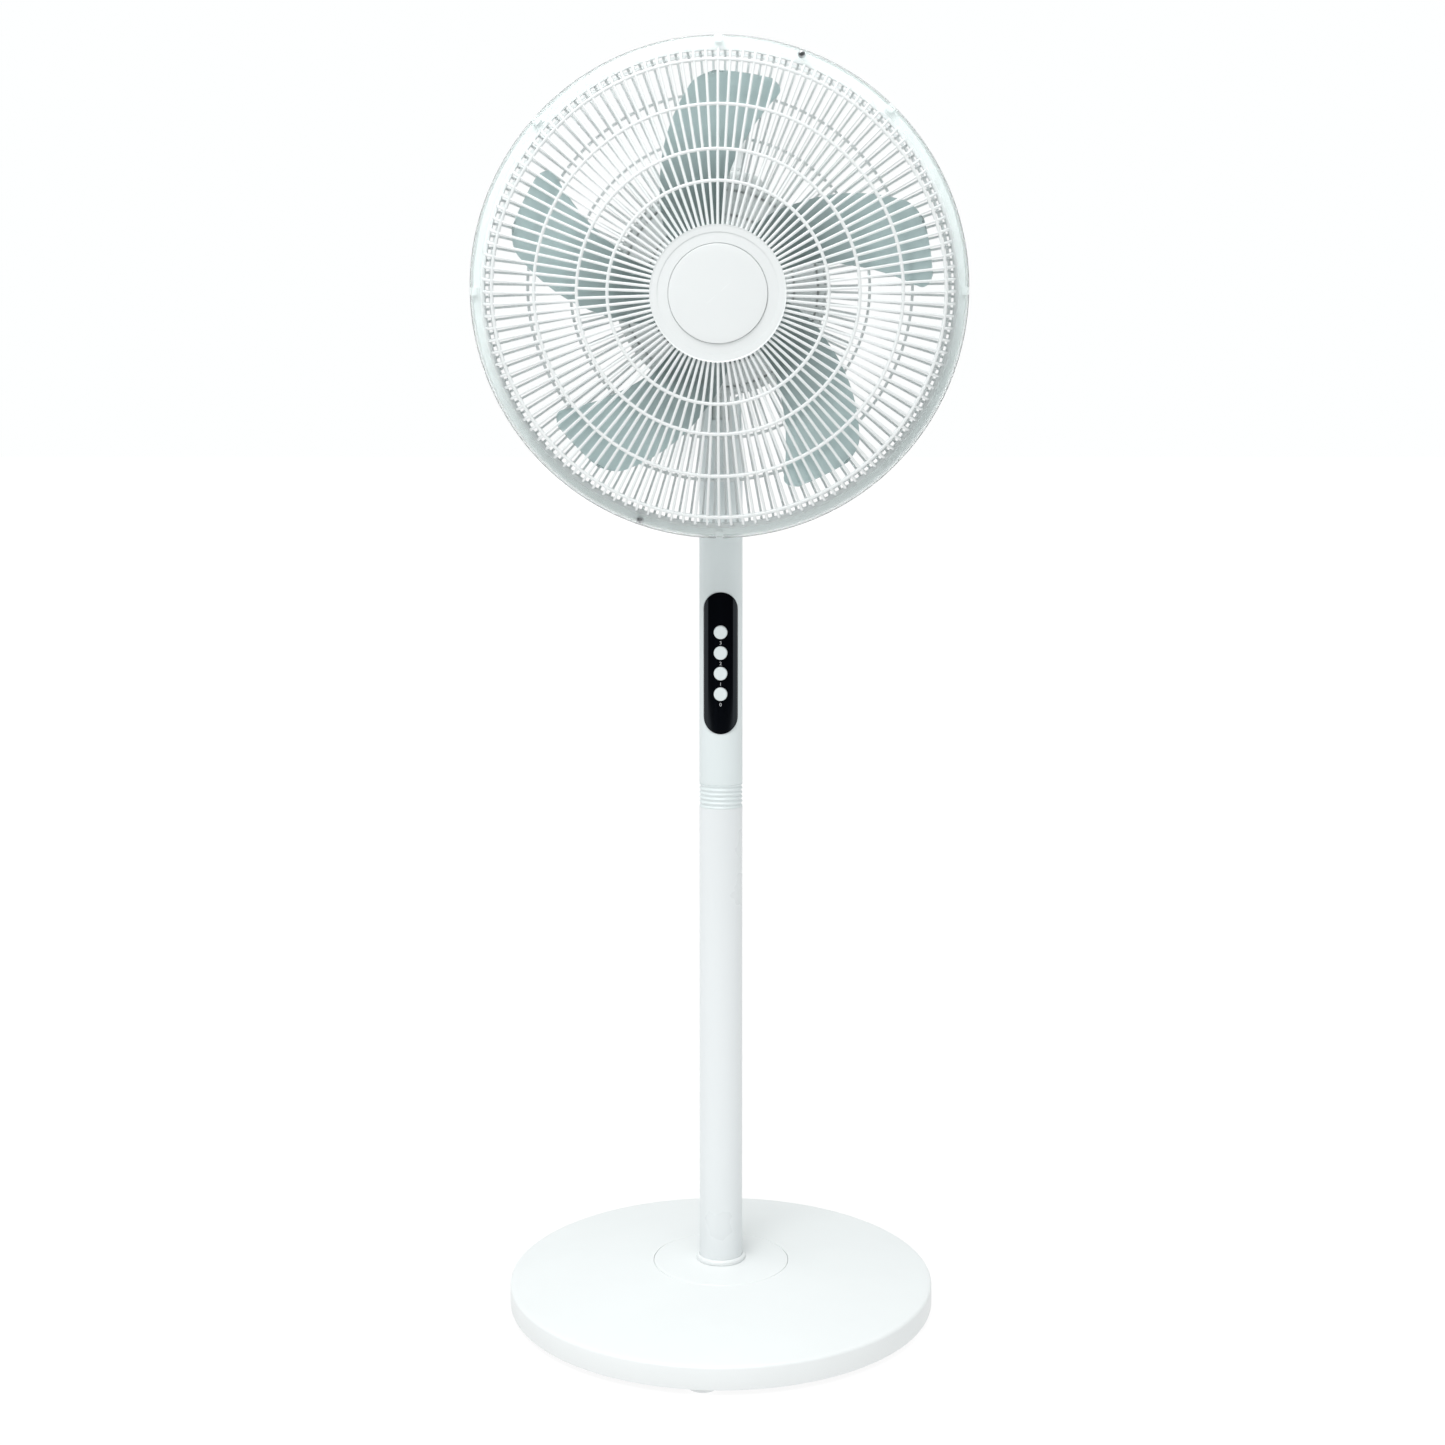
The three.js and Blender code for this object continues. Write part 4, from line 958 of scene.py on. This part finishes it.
def make_rim():
    """Clear channel that holds the two flanges together, and its two screws."""
    low, high = reach("rim_ring", HEAD)
    r, half = high[0], (high[1] - low[1]) / 2
    lip, wall = 210.2, 1.6
    section = rounded([(lip, -half, 0.7), (r, -half, 5.0), (r, half, 5.0), (lip, half, 0.7),
                       (lip, half - wall, 0.5), (r - wall, half - wall, 3.6), (r - wall, -half + wall, 3.6),
                       (lip, -half + wall, 0.5)], 5)
    bm = turned(section, 288, ALONG_Y, (0, RIM_Y, 0))
    clamp = piece("rim_clamp", bm, HEAD, "head", ["rim_ring"], "clear_plastic")
    clamp.visible_shadow = False  # clear plastic lets the light through
    facing_front = ALONG_Y @ Matrix.Rotation(math.pi, 4, "X")
    for number in (1, 2):
        node = f"rim_screw_{number}"
        centre = middle_of(node, HEAD)
        centre[1] = reach(node, HEAD)[1][1]
        cross_screw(f"rim_cross_screw_{number}", node, HEAD, "head", facing_front, centre)


def make_hub_cap():
    low, high = reach("hub_cap", HEAD)
    r, back = high[0], high[1]
    badge_r = reach("hub_badge", HEAD)[1][0]

    def face(x):
        return low[1] + FRONT_FALL * x * x

    seat = face(0) + 3.4  # the floor under the badge
    inside = seat + 2.4
    groove = badge_r + 0.35
    bend_r = 3.6
    lip_r, bore, lip_y = 52.4, 50, back - 6.2
    front = [(x, face(x)) for x in span(groove + 0.3, r - bend_r - 0.1, 8)]
    edge = [(r - bend_r + bend_r * math.sin(a), face(r - bend_r) + bend_r - bend_r * math.cos(a))
            for a in sweep(8, 90, 8)]
    rim = [(r, back - 7), (r - 1.2, lip_y), (lip_r, lip_y), (lip_r, back), (bore, back), (bore, inside),
           (0, inside)]
    profile = [(0, seat), (groove, seat), (groove, face(groove) + 0.2)] + front + edge + rim
    piece("hub_cover", turned(profile, 160, ALONG_Y), HEAD, "head", ["hub_cap"], "white_plastic")

    low, high = reach("hub_badge", HEAD)

    def badge_face(x):
        return low[1] + 0.35 + FRONT_FALL * x * x

    edge_r = badge_r - 0.1
    profile = [(x, badge_face(x)) for x in span(0, edge_r - 0.6, 8)]
    profile += [(edge_r - 0.2, badge_face(edge_r) + 0.08), (edge_r, badge_face(edge_r) + 0.3),
                (edge_r, seat - 0.3), (0, seat - 0.3)]
    piece("hub_disc", turned(profile, 160, ALONG_Y), HEAD, "head", ["hub_badge"], "white_plastic")


# ------------------------------------------------------------------ impeller
HUB_R, TIP_R, BLADES = 38.0, 190.4, 5
IMPELLER_Y = RIM_Y + 8
ROOT_RISE, TIP_RISE = 34, 22  # depth of a blade from edge to edge, along the axis
CAMBER = 5
HALF_THICKNESS = 1.15
SHAFT_BORE = 4.4


def trailing_edge(r):
    """Angle of the edge at radius r, in degrees; the tip's corner is rounded."""
    corner = max(0, r - 180) / (TIP_R - 180)
    return -41.7 + 0.2835 * (r - 61) - 0.08 * max(0, 106 - r) + 4 * corner ** 2.4


def leading_edge(r):
    corner = max(0, r - 176) / (TIP_R - 176)
    return 2.4 + 0.163 * max(0, r - 88) - 5 * corner ** 2.6


def make_impeller():
    across_steps, radial_steps = 26, 44
    root_r = HUB_R - 3
    bm = bmesh.new()
    for blade in range(BLADES):
        turn = 2 * math.pi * blade / BLADES
        shells = {}
        for side in (-1, 1):
            for i in range(across_steps + 1):
                across = 0.5 - 0.5 * math.cos(math.pi * i / across_steps)
                for j in range(radial_steps + 1):
                    out = math.sin(math.pi / 2 * j / radial_steps)
                    r = root_r + out * (TIP_R - root_r)
                    start, end = trailing_edge(r), leading_edge(r)
                    angle = math.radians(start + across * (end - start)) + turn
                    rise = ROOT_RISE + (TIP_RISE - ROOT_RISE) * (r - HUB_R) / (TIP_R - HUB_R)
                    camber = CAMBER * (1 - (2 * across - 1) ** 2)
                    from_edge = min(1, 8 * across, 8 * (1 - across), 40 * (1 - out))
                    thickness = HALF_THICKNESS * math.sqrt(max(0, from_edge))
                    y = IMPELLER_Y + rise * (across - 0.5) + camber + side * thickness
                    shells[side, i, j] = bm.verts.new((r * math.sin(angle), y, r * math.cos(angle)))
            for i in range(across_steps):
                for j in range(radial_steps):
                    bm.faces.new([shells[side, i, j], shells[side, i + 1, j], shells[side, i + 1, j + 1],
                                  shells[side, i, j + 1]])
        for i in range(across_steps):
            bm.faces.new([shells[-1, i, 0], shells[-1, i + 1, 0], shells[1, i + 1, 0], shells[1, i, 0]])
    bmesh.ops.remove_doubles(bm, verts=bm.verts, dist=1e-3)
    boss_r = 10
    hub = rounded([(SHAFT_BORE, -24, 0.4), (boss_r, -24, 0.8), (boss_r, -20, 0.5), (31, -20, 2),
                   (36, -15, 5), (HUB_R, 0, 8), (HUB_R, 14, 0.5), (35.6, 14, 0.5), (34, 0, 6), (30, -16, 3),
                   (boss_r, -16, 0.5), (boss_r, 12, 0.5), (SHAFT_BORE, 12, 0.3)], 5)
    lathe(bm, hub, 128, ALONG_Y, (0, IMPELLER_Y, 0))
    piece("fan_wheel", bm, HEAD, "rotor", ["impeller"], "blade_tint", 50)


def make_wheel_nut():
    low, high = reach("blade_nut", HEAD)
    front, back = low[1], high[1]
    bm = turned(rounded([(SHAFT_BORE, front, 0.3), (12, front, 1.5), (16, back - 2.5, 1), (16, back, 0.4),
                         (SHAFT_BORE, back, 0)], 5), 72, ALONG_Y)
    bars(bm, evenly(12), [(-1, 12.5), (1, 12.5), (0.7, 15.6), (-0.7, 15.6)], front + 3, back - 0.5)
    piece("wheel_nut", bm, HEAD, "rotor", ["blade_nut"], "blade_tint")


# ------------------------------------------------------------------ studio
FLOOR_HALF_WIDTH, FLOOR_FRONT, FLOOR_BACK = 60, -3.2, 80  # metres
FLOOR_GLOW = 0.93
SEEN_TINT, LIGHT_TINT = (0.99, 1.0, 1.0), (0.955, 1.0, 1.0)
WORLD_LEVEL = 0.45
SUN_LEVEL = 1.55
SUN_PLACE = (-0.5, -1.1, 3.7)
SOFTBOX_POWER = 28
SOFTBOX_PLACE = (-0.5, -1.7, 2.9)
LIGHTS_AIM = (0, 0, 0.7)


def make_floor():
    bm = bmesh.new()
    outline = [(-FLOOR_HALF_WIDTH, FLOOR_FRONT), (FLOOR_HALF_WIDTH, FLOOR_FRONT),
               (FLOOR_HALF_WIDTH, FLOOR_BACK), (-FLOOR_HALF_WIDTH, FLOOR_BACK)]
    stack(bm, [[(x, y, z) for x, y in outline] for z in (-0.02, 0)])
    floor = solid_object("floor", bm)
    paper = finish("floor_paper", (0.1, 0.1, 0.1), 0.9, tone=0.004, patch_mm=400, grain_mm=3,
                   grain_height=0.01, edge=1.0, Specular_IOR_Level=0.1, Emission_Color=(1, 1, 1, 1),
                   Emission_Strength=FLOOR_GLOW)
    floor.data.materials.append(paper)


def make_surroundings():
    """Reflections see a darker front, as of a studio behind the camera. The backdrop is plain white,
    and rays bent by clear plastic see it darker to the sides."""
    world = bpy.data.worlds.new("studio")
    bpy.context.scene.world = world
    world.use_nodes = True
    nodes, links = world.node_tree.nodes, world.node_tree.links
    background = nodes["Background"]
    rays = nodes.new("ShaderNodeLightPath").outputs
    coords = nodes.new("ShaderNodeTexCoord")
    split = nodes.new("ShaderNodeSeparateXYZ")
    links.new(coords.outputs["Generated"], split.inputs["Vector"])
    depth = split.outputs["Y"]
    either_way = nodes.new("ShaderNodeMath")
    either_way.operation = "ABSOLUTE"
    links.new(depth, either_way.inputs[0])

    reflected = spread_between(nodes, links, depth, 0.02, 0.9, (-0.6, -0.05))
    refracted = spread_between(nodes, links, either_way.outputs["Value"], 0.52, 1.0, (0.35, 0.8))
    level = mixed(nodes, links, rays["Is Glossy Ray"], WORLD_LEVEL, reflected, "FLOAT")
    level = mixed(nodes, links, rays["Is Transmission Ray"], level, refracted, "FLOAT")
    level = mixed(nodes, links, rays["Is Camera Ray"], level, 1.0, "FLOAT")
    links.new(level, background.inputs["Strength"])
    tint = mixed(nodes, links, rays["Is Camera Ray"], LIGHT_TINT, SEEN_TINT)
    links.new(tint, background.inputs["Color"])


def aim(light, place):
    obj = added(light.name, light)
    obj.location = place
    obj.rotation_mode = "QUATERNION"
    obj.rotation_quaternion = (Vector(LIGHTS_AIM) - obj.location).to_track_quat("-Z", "Y")


def make_lights():
    sun = bpy.data.lights.new("ceiling", "SUN")
    sun.energy = SUN_LEVEL
    sun.angle = math.radians(60)
    aim(sun, SUN_PLACE)
    softbox = bpy.data.lights.new("softbox", "AREA")
    softbox.shape = "DISK"
    softbox.size = 1.2
    softbox.energy = SOFTBOX_POWER
    aim(softbox, SOFTBOX_PLACE)


CAMERA_PLACE = (0.034, -1.9413, 0.8243)
CAMERA_DOWN = 3.51  # degrees that it looks down
CAMERA_TURN = 0.96  # degrees that it is turned to the left


def make_camera():
    camera = bpy.data.cameras.new("camera")
    camera.sensor_width = 36
    camera.lens = 51.84
    camera.shift_y = -0.1097
    camera.clip_start = 0.05
    obj = added("camera", camera)
    obj.location = CAMERA_PLACE
    obj.rotation_euler = (math.radians(90 - CAMERA_DOWN), 0, math.radians(CAMERA_TURN))
    bpy.context.scene.camera = obj
    bpy.context.scene.view_settings.view_transform = "Standard"


def finish_cad_nodes():
    """The CAD nodes that stay in view take the finish that their record slot names."""
    slots = {row["node"]: row["material_slot"] for row in frame["record"]["subparts"]}
    for node, obj in frame["nodes"].items():
        obj.data.materials.clear()
        obj.data.materials.append(FINISHES[slots[node]])


make_camera()
make_base_cover()
make_base_disc()
make_pole_ring()
make_weight_plate()
make_feet()
make_pole()
make_collar()
make_housing()
make_panel()
make_buttons()
make_numerals()
make_neck()
make_tilt_bolt()
make_motor_cover()
make_motor_plate()
make_lock_nut()
make_cover_screw()
make_swing_knob()
make_front_grille()
make_rear_grille()
make_rim()
make_hub_cap()
make_impeller()
make_wheel_nut()
finish_cad_nodes()
make_floor()
make_surroundings()
make_lights()
